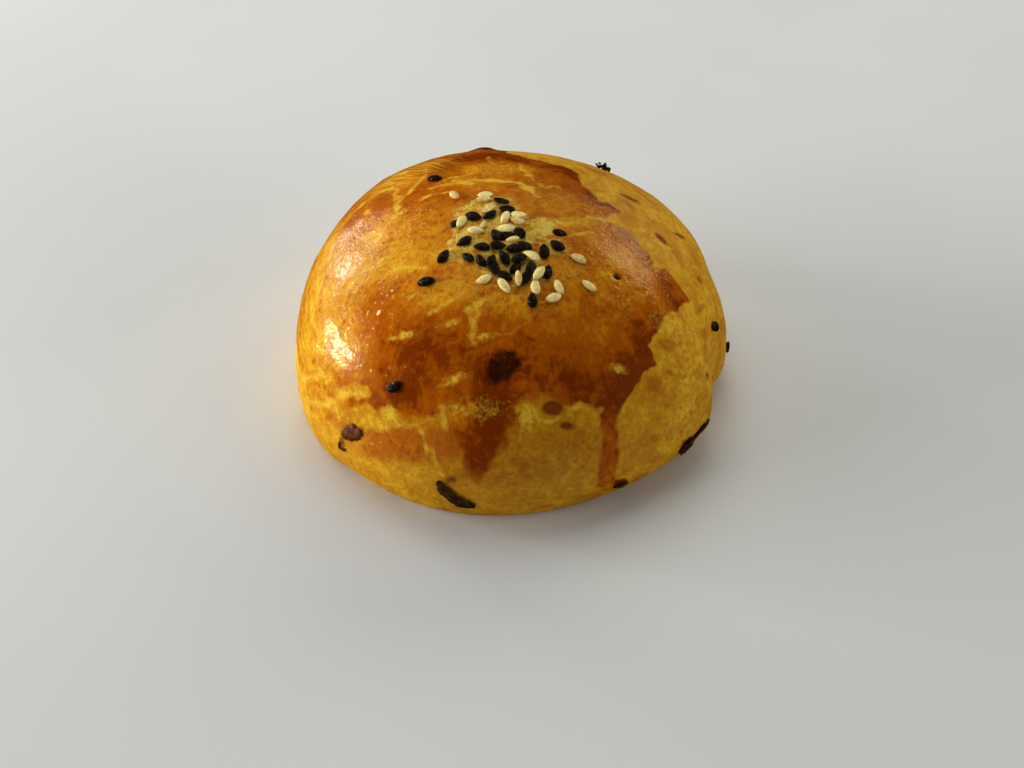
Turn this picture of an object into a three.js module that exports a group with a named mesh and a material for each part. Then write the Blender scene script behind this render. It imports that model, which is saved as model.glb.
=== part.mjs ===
// A round baked samsa: one closed bun of egg-washed dough that stands on its gathered base.
// Millimetres, +Z up.  It rests on z = 0, its front faces -Y, and the origin is the middle of
// its bounding box at the base.  Azimuths are in degrees, counted from +X towards +Y.
import * as THREE from 'three';
import { ParametricGeometry } from 'three/addons/geometries/ParametricGeometry.js';

// Driving sizes of the bun.
const RADIUS = 49.1; // from the middle to the side, at the waist
const HEIGHT = 44.9; // from the base to the crown, before the summit's own rise
const WAIST_HEIGHT = 10.3; // where the side is widest
const TUCK = 3.8; // how far the base edge draws in below the waist
const FULLNESS = 2.04; // superellipse power of the section: 2 is round, more is squarer

// Low swells and hollows that make the plan uneven: where, how wide and how far out.
const PLAN_SWELLS = [
  { azimuth: 188, spread: 15, out: -1.0 }, // hollow of the left side
  { azimuth: -62, spread: 20, out: -0.9 }, // flatter front right
  { azimuth: 248, spread: 22, out: 0.9 }, // fuller front left
  { azimuth: 160, spread: 19, out: -1.7 }, // flatter rear left
  { azimuth: 125, spread: 24, out: 2.4 }, // rear left shoulder
  { azimuth: 70, spread: 22, out: -1.9 }, // flatter rear
  { azimuth: 20, spread: 14, out: -0.4 }, // hollow of the right side
];

// The fold between the front and the right side, which dies away up the dome.
const FOLD_SWELLS = [
  { azimuth: -18, spread: 8, out: -3.0 }, // crease of the fold
  { azimuth: -32, spread: 9, out: 0.7 }, // lip of dough in front of it
];
const FOLD_CLIMB = 13; // height above the waist by which the fold has mostly faded

// Stretches of the side where the dough slumped before it set, so the waist hangs lower.
const SIDE_SLUMPS = [
  { from: -28.5, to: 16, edge: 4.5, tuck: 0.5, waist: -5.1 }, // right side, beyond the fold
  { from: 171, to: 223, edge: 5.3, tuck: -2.6, waist: -3.0 }, // left lobe
];

// Soft rises and hollows on top, each given by its middle, its reach and its height.
const CROWN_FORMS = [
  { x: 8, y: 9, reach: 13, rise: 0.75 }, // the summit, a little behind the seeds
  { x: -1, y: -9, reach: 12, rise: -0.5 }, // shallow bed that the seeds are pressed into
];

// The underside: a flattened knot where the dough is pinched shut, pleats, and a resting rim.
const KNOT_RADIUS = 9;
const PLEAT_REACH = 35; // from the middle to the outer end of the pleats
const PLEAT_COUNT = 12;
const PLEAT_DEPTH = 1.1;
const PLEAT_TWIST = 14; // degrees that a pleat turns on its way out

// Facets of the surface, counted round the bun and along each stretch of its section.
const FACETS_ROUND = 96;
const UNDERSIDE_RINGS = 9;
const TUCK_RINGS = 7;
const DOME_RINGS = 30;
const RINGS = UNDERSIDE_RINGS + TUCK_RINGS + DOME_RINGS;

/** Signed difference of two azimuths in degrees, from -180 to 180. */
function turnBetween(azimuth, other) {
  return THREE.MathUtils.euclideanModulo(azimuth - other + 180, 360) - 180;
}

/** A bell of height 1 round an azimuth. */
function bell(azimuth, middle, spread) {
  const turn = turnBetween(azimuth, middle) / spread;
  return Math.exp(-turn * turn);
}

/** 1 inside a stretch of azimuths and 0 outside it, with soft edges. */
function stretch(azimuth, { from, to, edge }) {
  const turn = turnBetween(azimuth, (from + to) / 2);
  const half = (to - from) / 2;
  return (Math.tanh((turn + half) / edge) - Math.tanh((turn - half) / edge)) / 2;
}

/** Sum of a list of swells at one azimuth. */
function swellAt(azimuth, swells) {
  let out = 0;
  for (const swell of swells) {
    out += swell.out * bell(azimuth, swell.azimuth, swell.spread);
  }
  return out;
}

/** The side at one azimuth: its swell and fold, the waist's height, and the tuck below it. */
function sideAt(azimuth) {
  const side = { waist: WAIST_HEIGHT, tuck: TUCK };
  side.swell = swellAt(azimuth, PLAN_SWELLS);
  side.fold = swellAt(azimuth, FOLD_SWELLS);
  for (const slump of SIDE_SLUMPS) {
    const share = stretch(azimuth, slump);
    side.tuck += slump.tuck * share;
    side.waist += slump.waist * share;
  }
  return side;
}

/** The pleated underside, as [radius, height], at a share of the way out to its edge. */
function undersidePoint(azimuth, share, side) {
  const edge = RADIUS + side.swell + side.fold - side.tuck;
  const radius = edge * share;
  const along = (radius - KNOT_RADIUS) / (PLEAT_REACH - KNOT_RADIUS);
  if (along <= 0 || along >= 1) {
    return [radius, 0];
  }
  const phase = THREE.MathUtils.degToRad(azimuth + PLEAT_TWIST * along) * PLEAT_COUNT;
  const crease = Math.pow(0.5 + 0.5 * Math.cos(phase), 2);
  return [radius, PLEAT_DEPTH * crease * Math.sin(Math.PI * along)];
}

/** The rounded tuck from the base edge at share 0 out to the waist at share 1. */
function tuckPoint(share, side) {
  const angle = (1 - share) * Math.PI / 2;
  const waistRadius = RADIUS + side.swell + side.fold;
  return [waistRadius - side.tuck * (1 - Math.cos(angle)), side.waist * (1 - Math.sin(angle))];
}

/** The dome from the waist at share 0 up to the crown at share 1. */
function domePoint(share, side) {
  const angle = share * Math.PI / 2;
  const climb = (HEIGHT - side.waist) * Math.pow(Math.sin(angle), 2 / FULLNESS);
  const fold = side.fold * Math.exp(-Math.pow(climb / FOLD_CLIMB, 2));
  const inward = Math.pow(Math.cos(angle), 2 / FULLNESS);
  return [(RADIUS + side.swell * inward + fold) * inward, side.waist + climb];
}

/** Section of the bun at one azimuth, as [radius, height], by ring from the knot to the crown. */
function sectionPoint(azimuth, ring) {
  const side = sideAt(azimuth);
  if (ring < UNDERSIDE_RINGS) {
    return undersidePoint(azimuth, ring / UNDERSIDE_RINGS, side);
  }
  if (ring < UNDERSIDE_RINGS + TUCK_RINGS) {
    return tuckPoint((ring - UNDERSIDE_RINGS) / TUCK_RINGS, side);
  }
  return domePoint((ring - UNDERSIDE_RINGS - TUCK_RINGS) / DOME_RINGS, side);
}

/** How much the crown forms lift the dome above a point of the plan. */
function crownRise(x, y) {
  let rise = 0;
  for (const form of CROWN_FORMS) {
    const distance = Math.hypot(x - form.x, y - form.y) / form.reach;
    rise += form.rise * Math.exp(-distance * distance);
  }
  return rise;
}

/** Surface of the bun for ParametricGeometry: u runs round it and v from the knot to the crown. */
function crustSurface(u, v, target) {
  const azimuth = 360 * (u % 1);
  const ring = Math.round(v * RINGS);
  const [radius, height] = sectionPoint(azimuth, ring);
  const angle = THREE.MathUtils.degToRad(azimuth);
  const x = ring === RINGS ? 0 : radius * Math.cos(angle);
  const y = ring === RINGS ? 0 : radius * Math.sin(angle);
  const lift = ring > UNDERSIDE_RINGS + TUCK_RINGS ? crownRise(x, y) : 0;
  target.set(x, y, height + lift);
}

/** The whole bun as one closed mesh, with the middle of its base at the origin. */
function makeCrust() {
  const geometry = new ParametricGeometry(crustSurface, FACETS_ROUND, RINGS);
  geometry.computeBoundingBox();
  const middle = geometry.boundingBox.getCenter(new THREE.Vector3());
  geometry.translate(-middle.x, -middle.y, -geometry.boundingBox.min.z);
  const material = new THREE.MeshStandardMaterial({
    color: 0xb96a1c,
    roughness: 0.42,
    metalness: 0,
  });
  const mesh = new THREE.Mesh(geometry, material);
  mesh.name = 'crust';
  return mesh;
}

const samsa = new THREE.Group();
samsa.add(makeCrust());

export default samsa;
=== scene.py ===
"""A round baked samsa: egg-washed dough with a cluster of sesame on its crown.

The crust repeats the solid's form from the same named sizes and adds what baking does to it:
brushed egg wash that ran into drips, cracked and marbled dough, scorched spots, blisters and
pits.  Glints on some blisters and shade on the lower front are painted into its colour.  Seeds
and charred flakes are placed on that surface or lifted a little way above it.

Places on the crust are given on its chart, in millimetres: the surface is unrolled from the
crown, so that a point's distance from the chart's middle is the distance over the dough, and
its direction is the azimuth on the bun, from +X towards +Y.  The front of the bun is -Y.
"""

from __future__ import annotations

import logging
import math
from dataclasses import dataclass, field
from enum import Enum

import bpy
import numpy as np
from mathutils import Matrix, Vector


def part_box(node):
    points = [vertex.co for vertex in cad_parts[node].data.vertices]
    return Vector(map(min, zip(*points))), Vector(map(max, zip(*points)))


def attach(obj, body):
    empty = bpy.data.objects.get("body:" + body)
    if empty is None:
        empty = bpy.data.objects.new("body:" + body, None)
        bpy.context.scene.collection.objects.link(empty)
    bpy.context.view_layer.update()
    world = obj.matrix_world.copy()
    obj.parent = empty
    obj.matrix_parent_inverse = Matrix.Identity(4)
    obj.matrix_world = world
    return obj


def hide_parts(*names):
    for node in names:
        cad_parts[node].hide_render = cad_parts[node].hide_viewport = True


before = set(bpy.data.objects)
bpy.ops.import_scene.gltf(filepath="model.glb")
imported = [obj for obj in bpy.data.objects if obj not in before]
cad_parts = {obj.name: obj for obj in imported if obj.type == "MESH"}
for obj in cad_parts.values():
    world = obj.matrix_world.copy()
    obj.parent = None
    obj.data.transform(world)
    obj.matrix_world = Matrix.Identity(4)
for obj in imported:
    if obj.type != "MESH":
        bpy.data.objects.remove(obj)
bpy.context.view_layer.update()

MM = 0.001
NODE = "crust"
LOG = logging.getLogger("samsa")

# Facets of the solid round the bun, which its box depends on
SOLID_FACETS = 96
# Depths in millimetres, in or out, at which the depths of the wash and other marks stop growing
FAR_DEPTH = 5.0
LINE_DEPTH = 2.0
SPOT_DEPTH = 3.0
PAINTED_GLINT_DEPTH = 1.0
# Numbers of the sockets of a Mix node that mixes colours
MIX_SHARE = 0
MIX_FIRST = 6
MIX_SECOND = 7
MIX_RESULT = 2

Colour = tuple[float, float, float]
Array = np.ndarray


# --------------------------------------------------------------------------------------
# Shader maths
# --------------------------------------------------------------------------------------


class Socket:
    """A shader socket that operators act on: an expression on values adds its Math nodes."""

    def __init__(self, bench: Bench, link: bpy.types.NodeSocket) -> None:
        """Wrap a node's output.

        Args:
            bench: The material's bench, which adds the nodes.
            link: The output socket itself.
        """
        self.bench = bench
        self.link = link

    def _math(self, operation: str, *values: Socket | float) -> Socket:
        """Add one Math node over these values."""
        node = self.bench.node(
            "ShaderNodeMath", {"operation": operation}, dict(enumerate(values))
        )
        return self.bench.out(node)

    def __add__(self, other: Socket | float) -> Socket:
        """Sum of two values."""
        return self._math("ADD", self, other)

    __radd__ = __add__

    def __sub__(self, other: Socket | float) -> Socket:
        """Difference of two values."""
        return self._math("SUBTRACT", self, other)

    def __rsub__(self, other: float) -> Socket:
        """A number less this value."""
        return self._math("SUBTRACT", other, self)

    def __mul__(self, other: Socket | float) -> Socket:
        """Product of two values."""
        return self._math("MULTIPLY", self, other)

    __rmul__ = __mul__

    def __truediv__(self, other: Socket | float) -> Socket:
        """Ratio of two values."""
        return self._math("DIVIDE", self, other)

    def most(self, other: Socket | float) -> Socket:
        """The larger of two values."""
        return self._math("MAXIMUM", self, other)

    def least(self, other: Socket | float) -> Socket:
        """The smaller of two values."""
        return self._math("MINIMUM", self, other)

    def ramp(self, low: float, high: float) -> Socket:
        """A smooth step of this value.

        Args:
            low: Where the step is still 0.
            high: Where it has reached 1.

        Returns:
            The stepped value, from 0 to 1.
        """
        settings = {"interpolation_type": "SMOOTHSTEP"}
        sockets = {"Value": self, "From Min": low, "From Max": high}
        return self.bench.out(self.bench.node("ShaderNodeMapRange", settings, sockets))


class Bench:
    """Builds the node tree of one material."""

    def __init__(self, name: str) -> None:
        """Start an empty material.

        Args:
            name: The material's name.
        """
        self.material = bpy.data.materials.new(name)
        self.material.use_nodes = True
        self.tree = self.material.node_tree
        self.tree.nodes.clear()

    def node(
        self,
        kind: str,
        settings: dict[str, object] | None = None,
        sockets: dict[str | int, object] | None = None,
    ) -> bpy.types.Node:
        """Add a node.

        Args:
            kind: The node's type.
            settings: Its own settings, set before its sockets.
            sockets: Values or links by socket name or number.

        Returns:
            The new node.
        """
        node = self.tree.nodes.new(kind)
        for key, value in (settings or {}).items():
            setattr(node, key, value)
        for key, value in (sockets or {}).items():
            socket = node.inputs[key]
            if isinstance(value, Socket):
                self.tree.links.new(value.link, socket)
            elif isinstance(value, tuple) and len(value) == 3 and socket.type == "RGBA":
                socket.default_value = (*value, 1.0)
            else:
                socket.default_value = value
        return node

    def out(self, node: bpy.types.Node, name: str | int = 0) -> Socket:
        """Wrap one output of a node."""
        return Socket(self, node.outputs[name])

    def place(self) -> Socket:
        """The point's place on the object, in metres."""
        return self.out(self.node("ShaderNodeTexCoord"), "Object")

    def attribute(self, name: str, output: str = "Fac") -> Socket:
        """A value, or with the output "Vector" a vector, that the mesh carries at its points."""
        settings = {"attribute_type": "GEOMETRY", "attribute_name": name}
        return self.out(self.node("ShaderNodeAttribute", settings), output)

    def noise(
        self, grain_mm: float, detail: float = 3.0, warp: float = 0.0, rough: float = 0.5
    ) -> Socket:
        """Smooth noise from 0 to 1 with a middle of about 0.5.

        Args:
            grain_mm: Size of its largest blotches.
            detail: How many finer layers it has.
            warp: How much it twists itself.
            rough: How strong the finer layers are.

        Returns:
            The noise.
        """
        sockets = {
            "Vector": self.place(),
            "Scale": 1.0 / (grain_mm * MM),
            "Detail": detail,
            "Roughness": rough,
            "Distortion": warp,
        }
        return self.out(self.node("ShaderNodeTexNoise", {}, sockets), "Fac")

    def cracks(self, cell_mm: float, warp_mm: float, warp_grain_mm: float) -> Socket:
        """Distance to a net of wandering lines, 0 on a line.

        Args:
            cell_mm: Size of the net's cells.
            warp_mm: How far the lines wander.
            warp_grain_mm: Size of that wandering.

        Returns:
            The distance, in cells.
        """
        wander = self.node(
            "ShaderNodeTexNoise",
            {},
            {"Vector": self.place(), "Scale": 1.0 / (warp_grain_mm * MM), "Detail": 3.0},
        )
        middle = self.vector("SUBTRACT", self.out(wander, "Color"), (0.5, 0.5, 0.5))
        shift = self.vector("SCALE", middle, scale=2.0 * warp_mm * MM)
        point = self.vector("ADD", self.place(), shift)
        net = self.node(
            "ShaderNodeTexVoronoi",
            {"feature": "DISTANCE_TO_EDGE"},
            {"Vector": point, "Scale": 1.0 / (cell_mm * MM)},
        )
        return self.out(net, "Distance")

    def vector(
        self,
        operation: str,
        first: Socket,
        second: Socket | tuple[float, float, float] | None = None,
        scale: float | None = None,
    ) -> Socket:
        """Vector arithmetic.

        Args:
            operation: The Vector Math operation.
            first: The first vector.
            second: The second vector, if the operation takes one.
            scale: The factor of a scaling.

        Returns:
            The resulting vector.
        """
        sockets: dict[str | int, object] = {0: first}
        if second is not None:
            sockets[1] = second
        if scale is not None:
            sockets["Scale"] = scale
        return self.out(self.node("ShaderNodeVectorMath", {"operation": operation}, sockets))

    def blend(
        self, share: Socket | float, first: Socket | Colour, second: Socket | Colour
    ) -> Socket:
        """Mix two colours.

        Args:
            share: How much of the second colour shows.
            first: The colour at share 0.
            second: The colour at share 1.

        Returns:
            The mixed colour.
        """
        settings = {"data_type": "RGBA", "clamp_factor": True}
        sockets = {MIX_SHARE: share, MIX_FIRST: first, MIX_SECOND: second}
        return self.out(self.node("ShaderNodeMix", settings, sockets), MIX_RESULT)

    def bump(self, height: Socket, reach_mm: float, below: Socket | None = None) -> Socket:
        """Turn a height into a normal.

        Args:
            height: The height, 1 standing for reach_mm.
            reach_mm: What a height of 1 measures.
            below: A normal that this relief rides on.

        Returns:
            The bent normal.
        """
        sockets: dict[str | int, object] = {
            "Height": height,
            "Distance": reach_mm * MM,
            "Strength": 1.0,
        }
        if below is not None:
            sockets["Normal"] = below
        return self.out(self.node("ShaderNodeBump", {}, sockets))

    def finish(self, **sockets: object) -> bpy.types.Material:
        """Close the material with a Principled shader.

        Args:
            **sockets: Its sockets, with underscores for spaces.

        Returns:
            The finished material.
        """
        named = {name.replace("_", " "): value for name, value in sockets.items()}
        shader = self.node("ShaderNodeBsdfPrincipled", {}, named)
        self.node("ShaderNodeOutputMaterial", {}, {"Surface": self.out(shader)})
        return self.material


# --------------------------------------------------------------------------------------
# The form of the bun, in millimetres round its knot
# --------------------------------------------------------------------------------------


@dataclass(frozen=True)
class Swell:
    """A low swell or hollow of the plan: its azimuth, its spread and how far out it goes."""

    azimuth: float
    spread: float
    out: float


@dataclass(frozen=True)
class Slump:
    """A stretch of the side where the dough sank before it set, between two azimuths."""

    start: float
    end: float
    edge: float
    tuck: float
    waist: float


@dataclass(frozen=True)
class CrownForm:
    """A soft rise or hollow on top: its middle, its reach and its height."""

    x: float
    y: float
    reach: float
    rise: float


def turn_between(azimuth: Array, other: float) -> Array:
    """Signed difference of azimuths in degrees, from -180 to 180."""
    return (azimuth - other + 180.0) % 360.0 - 180.0


@dataclass(frozen=True)
class BunForm:
    """The outer form of the bun, with the solid's own driving sizes."""

    radius: float = 49.1
    height: float = 44.9
    waist: float = 10.3
    tuck: float = 3.8
    fullness: float = 2.04
    fold_climb: float = 13.0
    swells: tuple[Swell, ...] = (
        Swell(188, 15, -1.0),
        Swell(-62, 20, -0.9),
        Swell(248, 22, 0.9),
        Swell(160, 19, -1.7),
        Swell(125, 24, 2.4),
        Swell(70, 22, -1.9),
        Swell(20, 14, -0.4),
    )
    folds: tuple[Swell, ...] = (Swell(-18, 8, -3.0), Swell(-32, 9, 0.7))
    slumps: tuple[Slump, ...] = (
        Slump(-28.5, 16, 4.5, 0.5, -5.1),
        Slump(171, 223, 5.3, -2.6, -3.0),
    )
    crown_forms: tuple[CrownForm, ...] = (
        CrownForm(8, 9, 13, 0.75),
        CrownForm(-1, -9, 12, -0.5),
    )
    knot_radius: float = 9.0
    pleat_reach: float = 35.0
    pleat_count: int = 12
    pleat_depth: float = 1.1
    pleat_twist: float = 14.0

    @staticmethod
    def _swell(azimuth: Array, swells: tuple[Swell, ...]) -> Array:
        """Sum of a list of swells."""
        out = np.zeros_like(azimuth)
        for swell in swells:
            out = out + swell.out * np.exp(
                -((turn_between(azimuth, swell.azimuth) / swell.spread) ** 2)
            )
        return out

    def side(self, azimuth: Array) -> tuple[Array, Array, Array, Array]:
        """The side of the bun.

        Args:
            azimuth: Azimuths in degrees.

        Returns:
            Its swell, its fold, the waist's height and the depth of the tuck below it.
        """
        waist = np.full_like(azimuth, self.waist)
        tuck = np.full_like(azimuth, self.tuck)
        for slump in self.slumps:
            turn = turn_between(azimuth, (slump.start + slump.end) / 2)
            half = (slump.end - slump.start) / 2
            share = np.tanh((turn + half) / slump.edge) - np.tanh((turn - half) / slump.edge)
            tuck = tuck + slump.tuck * share / 2
            waist = waist + slump.waist * share / 2
        return self._swell(azimuth, self.swells), self._swell(azimuth, self.folds), waist, tuck

    def meridians(self, azimuth: Array, steps: int = 360) -> tuple[Array, Array, Array]:
        """Lines over the dough from the crown down to the base edge.

        Args:
            azimuth: Azimuths in degrees.
            steps: Points on each line.

        Returns:
            Radius, height and distance from the crown, one column for each azimuth.
        """
        swell, fold, waist, tuck = self.side(azimuth)
        over = np.linspace(math.pi / 2, 0.0, steps * 4 // 5)[:, None]
        inward = np.abs(np.cos(over)) ** (2 / self.fullness)
        climb = (self.height - waist) * np.sin(over) ** (2 / self.fullness)
        faded = fold * np.exp(-((climb / self.fold_climb) ** 2))
        dome_radius = (self.radius + swell * inward + faded) * inward
        under = np.linspace(0.0, math.pi / 2, steps - len(over) + 1)[1:, None]
        tuck_radius = self.radius + swell + fold - tuck * (1 - np.cos(under))
        radius = np.vstack([dome_radius, tuck_radius])
        height = np.vstack([waist + climb, waist * (1 - np.sin(under))])
        angle = np.radians(azimuth)
        height[: len(over)] += self.crown_rise(
            dome_radius * np.cos(angle), dome_radius * np.sin(angle)
        )
        length = np.hypot(np.diff(radius, axis=0), np.diff(height, axis=0))
        distance = np.vstack([np.zeros_like(azimuth)[None], np.cumsum(length, axis=0)])
        return radius, height, distance

    def crown_rise(self, x: Array, y: Array) -> Array:
        """How much the crown forms lift the dome above points of the plan."""
        rise = np.zeros_like(x)
        for form in self.crown_forms:
            reach = ((x - form.x) ** 2 + (y - form.y) ** 2) / form.reach**2
            rise = rise + form.rise * np.exp(-reach)
        return rise

    def base_height(self, azimuth: Array, radius: Array) -> Array:
        """Height of the pleated underside at a radius."""
        along = (radius - self.knot_radius) / (self.pleat_reach - self.knot_radius)
        along = np.clip(along, 0.0, 1.0)
        phase = np.radians(azimuth + self.pleat_twist * along) * self.pleat_count
        crease = (0.5 + 0.5 * np.cos(phase)) ** 2
        return self.pleat_depth * crease * np.sin(math.pi * along)


# --------------------------------------------------------------------------------------
# Marks on the chart
# --------------------------------------------------------------------------------------


class ChartNoise:
    """Seeded smooth noise over the chart: a grid of random heights, blended."""

    CELLS = 256

    def __init__(self, seed: int, grain: float) -> None:
        """Draw the grid.

        Args:
            seed: The seed of its random heights.
            grain: The size of a cell in millimetres.
        """
        self.grain = grain
        self.heights = np.random.default_rng(seed).uniform(-1.0, 1.0, (self.CELLS, self.CELLS))

    def __call__(self, x: Array, y: Array) -> Array:
        """The noise at points of the chart, from -1 to 1."""
        u = np.asarray(x) / self.grain + self.CELLS / 2
        v = np.asarray(y) / self.grain + self.CELLS / 2
        column = np.floor(u).astype(int)
        row = np.floor(v).astype(int)
        a = u - column
        b = v - row
        a = a * a * (3 - 2 * a)
        b = b * b * (3 - 2 * b)
        grid = self.heights
        here = column % self.CELLS
        right = (column + 1) % self.CELLS
        low = row % self.CELLS
        high = (row + 1) % self.CELLS
        bottom = grid[here, low] * (1 - a) + grid[right, low] * a
        top = grid[here, high] * (1 - a) + grid[right, high] * a
        return bottom * (1 - b) + top * b


def ripples(
    x: Array, y: Array, layers: tuple[tuple[int, float, float], ...], level: float = 0.0
) -> Array:
    """Layers of seeded noise over the chart.

    Args:
        x: First coordinates of the points.
        y: Second coordinates of the points.
        layers: The seed, the grain and the height of each layer.
        level: What they are added to.

    Returns:
        Their sum at each point.
    """
    value = np.full(np.shape(x), level)
    for seed, grain, tall in layers:
        value = value + tall * ChartNoise(seed, grain)(x, y)
    return value


@dataclass(frozen=True)
class Oval:
    """An oval mark on the chart: its middle, its length and width, and its turn."""

    x: float
    y: float
    length: float
    width: float
    turn: float = 0.0
    strength: float = 1.0

    def reach(self, x: Array, y: Array) -> Array:
        """Distance from the middle, 1 on the oval's edge."""
        angle = math.radians(self.turn)
        along = (x - self.x) * math.cos(angle) + (y - self.y) * math.sin(angle)
        across = (y - self.y) * math.cos(angle) - (x - self.x) * math.sin(angle)
        return np.hypot(along / (self.length / 2), across / (self.width / 2))

    def soft(self, x: Array, y: Array) -> Array:
        """A soft mound of the oval's strength."""
        return self.strength * np.exp(-(self.reach(x, y) ** 2))

    def inside(self, x: Array, y: Array) -> Array:
        """Depth inside the oval in millimetres, below 0 outside it."""
        return (1.0 - self.reach(x, y)) * min(self.length, self.width) / 2


@dataclass(frozen=True)
class Line:
    """A thin line over the dough: the points it runs through, its width and its strength."""

    points: tuple[tuple[float, float], ...]
    width: float = 0.35
    strength: float = 1.0

    def distance(self, x: Array, y: Array) -> Array:
        """Distance from the line in millimetres."""
        nearest = np.full(np.shape(x), np.inf)
        for start, end in zip(self.points, self.points[1:]):
            nearest = np.minimum(nearest, segment_distance(x, y, start, end))
        return nearest

    def soft(self, x: Array, y: Array) -> Array:
        """A soft ridge of the line's strength."""
        return self.strength * np.exp(-((self.distance(x, y) / self.width) ** 2))

    def inside(self, x: Array, y: Array) -> Array:
        """Depth inside the line in millimetres, below 0 outside it."""
        return self.width / 2 - self.distance(x, y)


def segment_distance(
    x: Array, y: Array, start: tuple[float, float], end: tuple[float, float]
) -> Array:
    """Distance from a straight piece.

    Args:
        x: First coordinates of the points.
        y: Second coordinates of the points.
        start: One end of the piece.
        end: Its other end.

    Returns:
        The distance of each point.
    """
    dx, dy = end[0] - start[0], end[1] - start[1]
    along = ((x - start[0]) * dx + (y - start[1]) * dy) / (dx * dx + dy * dy)
    along = np.clip(along, 0.0, 1.0)
    return np.hypot(x - start[0] - along * dx, y - start[1] - along * dy)


def depth_inside(x: Array, y: Array, outline: tuple[tuple[float, float], ...]) -> Array:
    """Depth inside a closed outline, below 0 outside it.

    Args:
        x: First coordinates of the points.
        y: Second coordinates of the points.
        outline: The outline's corners in order.

    Returns:
        The signed distance of each point from the outline.
    """
    nearest = np.full(np.shape(x), np.inf)
    inside = np.zeros(np.shape(x), dtype=bool)
    for start, end in zip(outline, outline[1:] + outline[:1]):
        nearest = np.minimum(nearest, segment_distance(x, y, start, end))
        crosses = (start[1] > y) != (end[1] > y)
        if start[1] != end[1]:
            cut = start[0] + (y - start[1]) * (end[0] - start[0]) / (end[1] - start[1])
            inside ^= crosses & (x < cut)
    return np.where(inside, nearest, -nearest)


def strongest(marks: tuple[Oval | Line, ...], x: Array, y: Array) -> Array:
    """The strongest of several soft marks at each point."""
    value = np.zeros(np.shape(x))
    for mark in marks:
        value = np.maximum(value, mark.soft(x, y))
    return value


def deepest(marks: tuple[Oval | Line, ...], x: Array, y: Array, most: float) -> Array:
    """Depth inside the nearest of several marks.

    Args:
        marks: The marks.
        x: First coordinates of the points.
        y: Second coordinates of the points.
        most: The depth, in or out, at which the value stops growing.

    Returns:
        The depth in millimetres, below 0 outside them all.
    """
    value = np.full(np.shape(x), -most)
    for mark in marks:
        value = np.maximum(value, mark.inside(x, y) * mark.strength)
    return np.minimum(value, most)


def total(marks: tuple[Oval | Line, ...], x: Array, y: Array) -> Array:
    """The sum of several soft marks at each point."""
    value = np.zeros(np.shape(x))
    for mark in marks:
        value = value + mark.soft(x, y)
    return value


@dataclass(frozen=True)
class Dimple:
    """A round rise, or with a height below 0 a pit, on the crust."""

    x: float
    y: float
    radius: float
    height: float

    def relief(self, x: Array, y: Array) -> Array:
        """Its height at points of the chart."""
        reach = ((x - self.x) ** 2 + (y - self.y) ** 2) / self.radius**2
        return self.height * np.exp(-reach)


@dataclass(frozen=True)
class Bubble:
    """A burst bubble in the egg wash: a thin raised ring."""

    x: float
    y: float
    radius: float
    height: float = 0.09
    wall: float = 0.22

    def relief(self, x: Array, y: Array) -> Array:
        """Its height at points of the chart."""
        away = np.hypot(x - self.x, y - self.y) - self.radius
        return self.height * np.exp(-((away / self.wall) ** 2))


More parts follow.
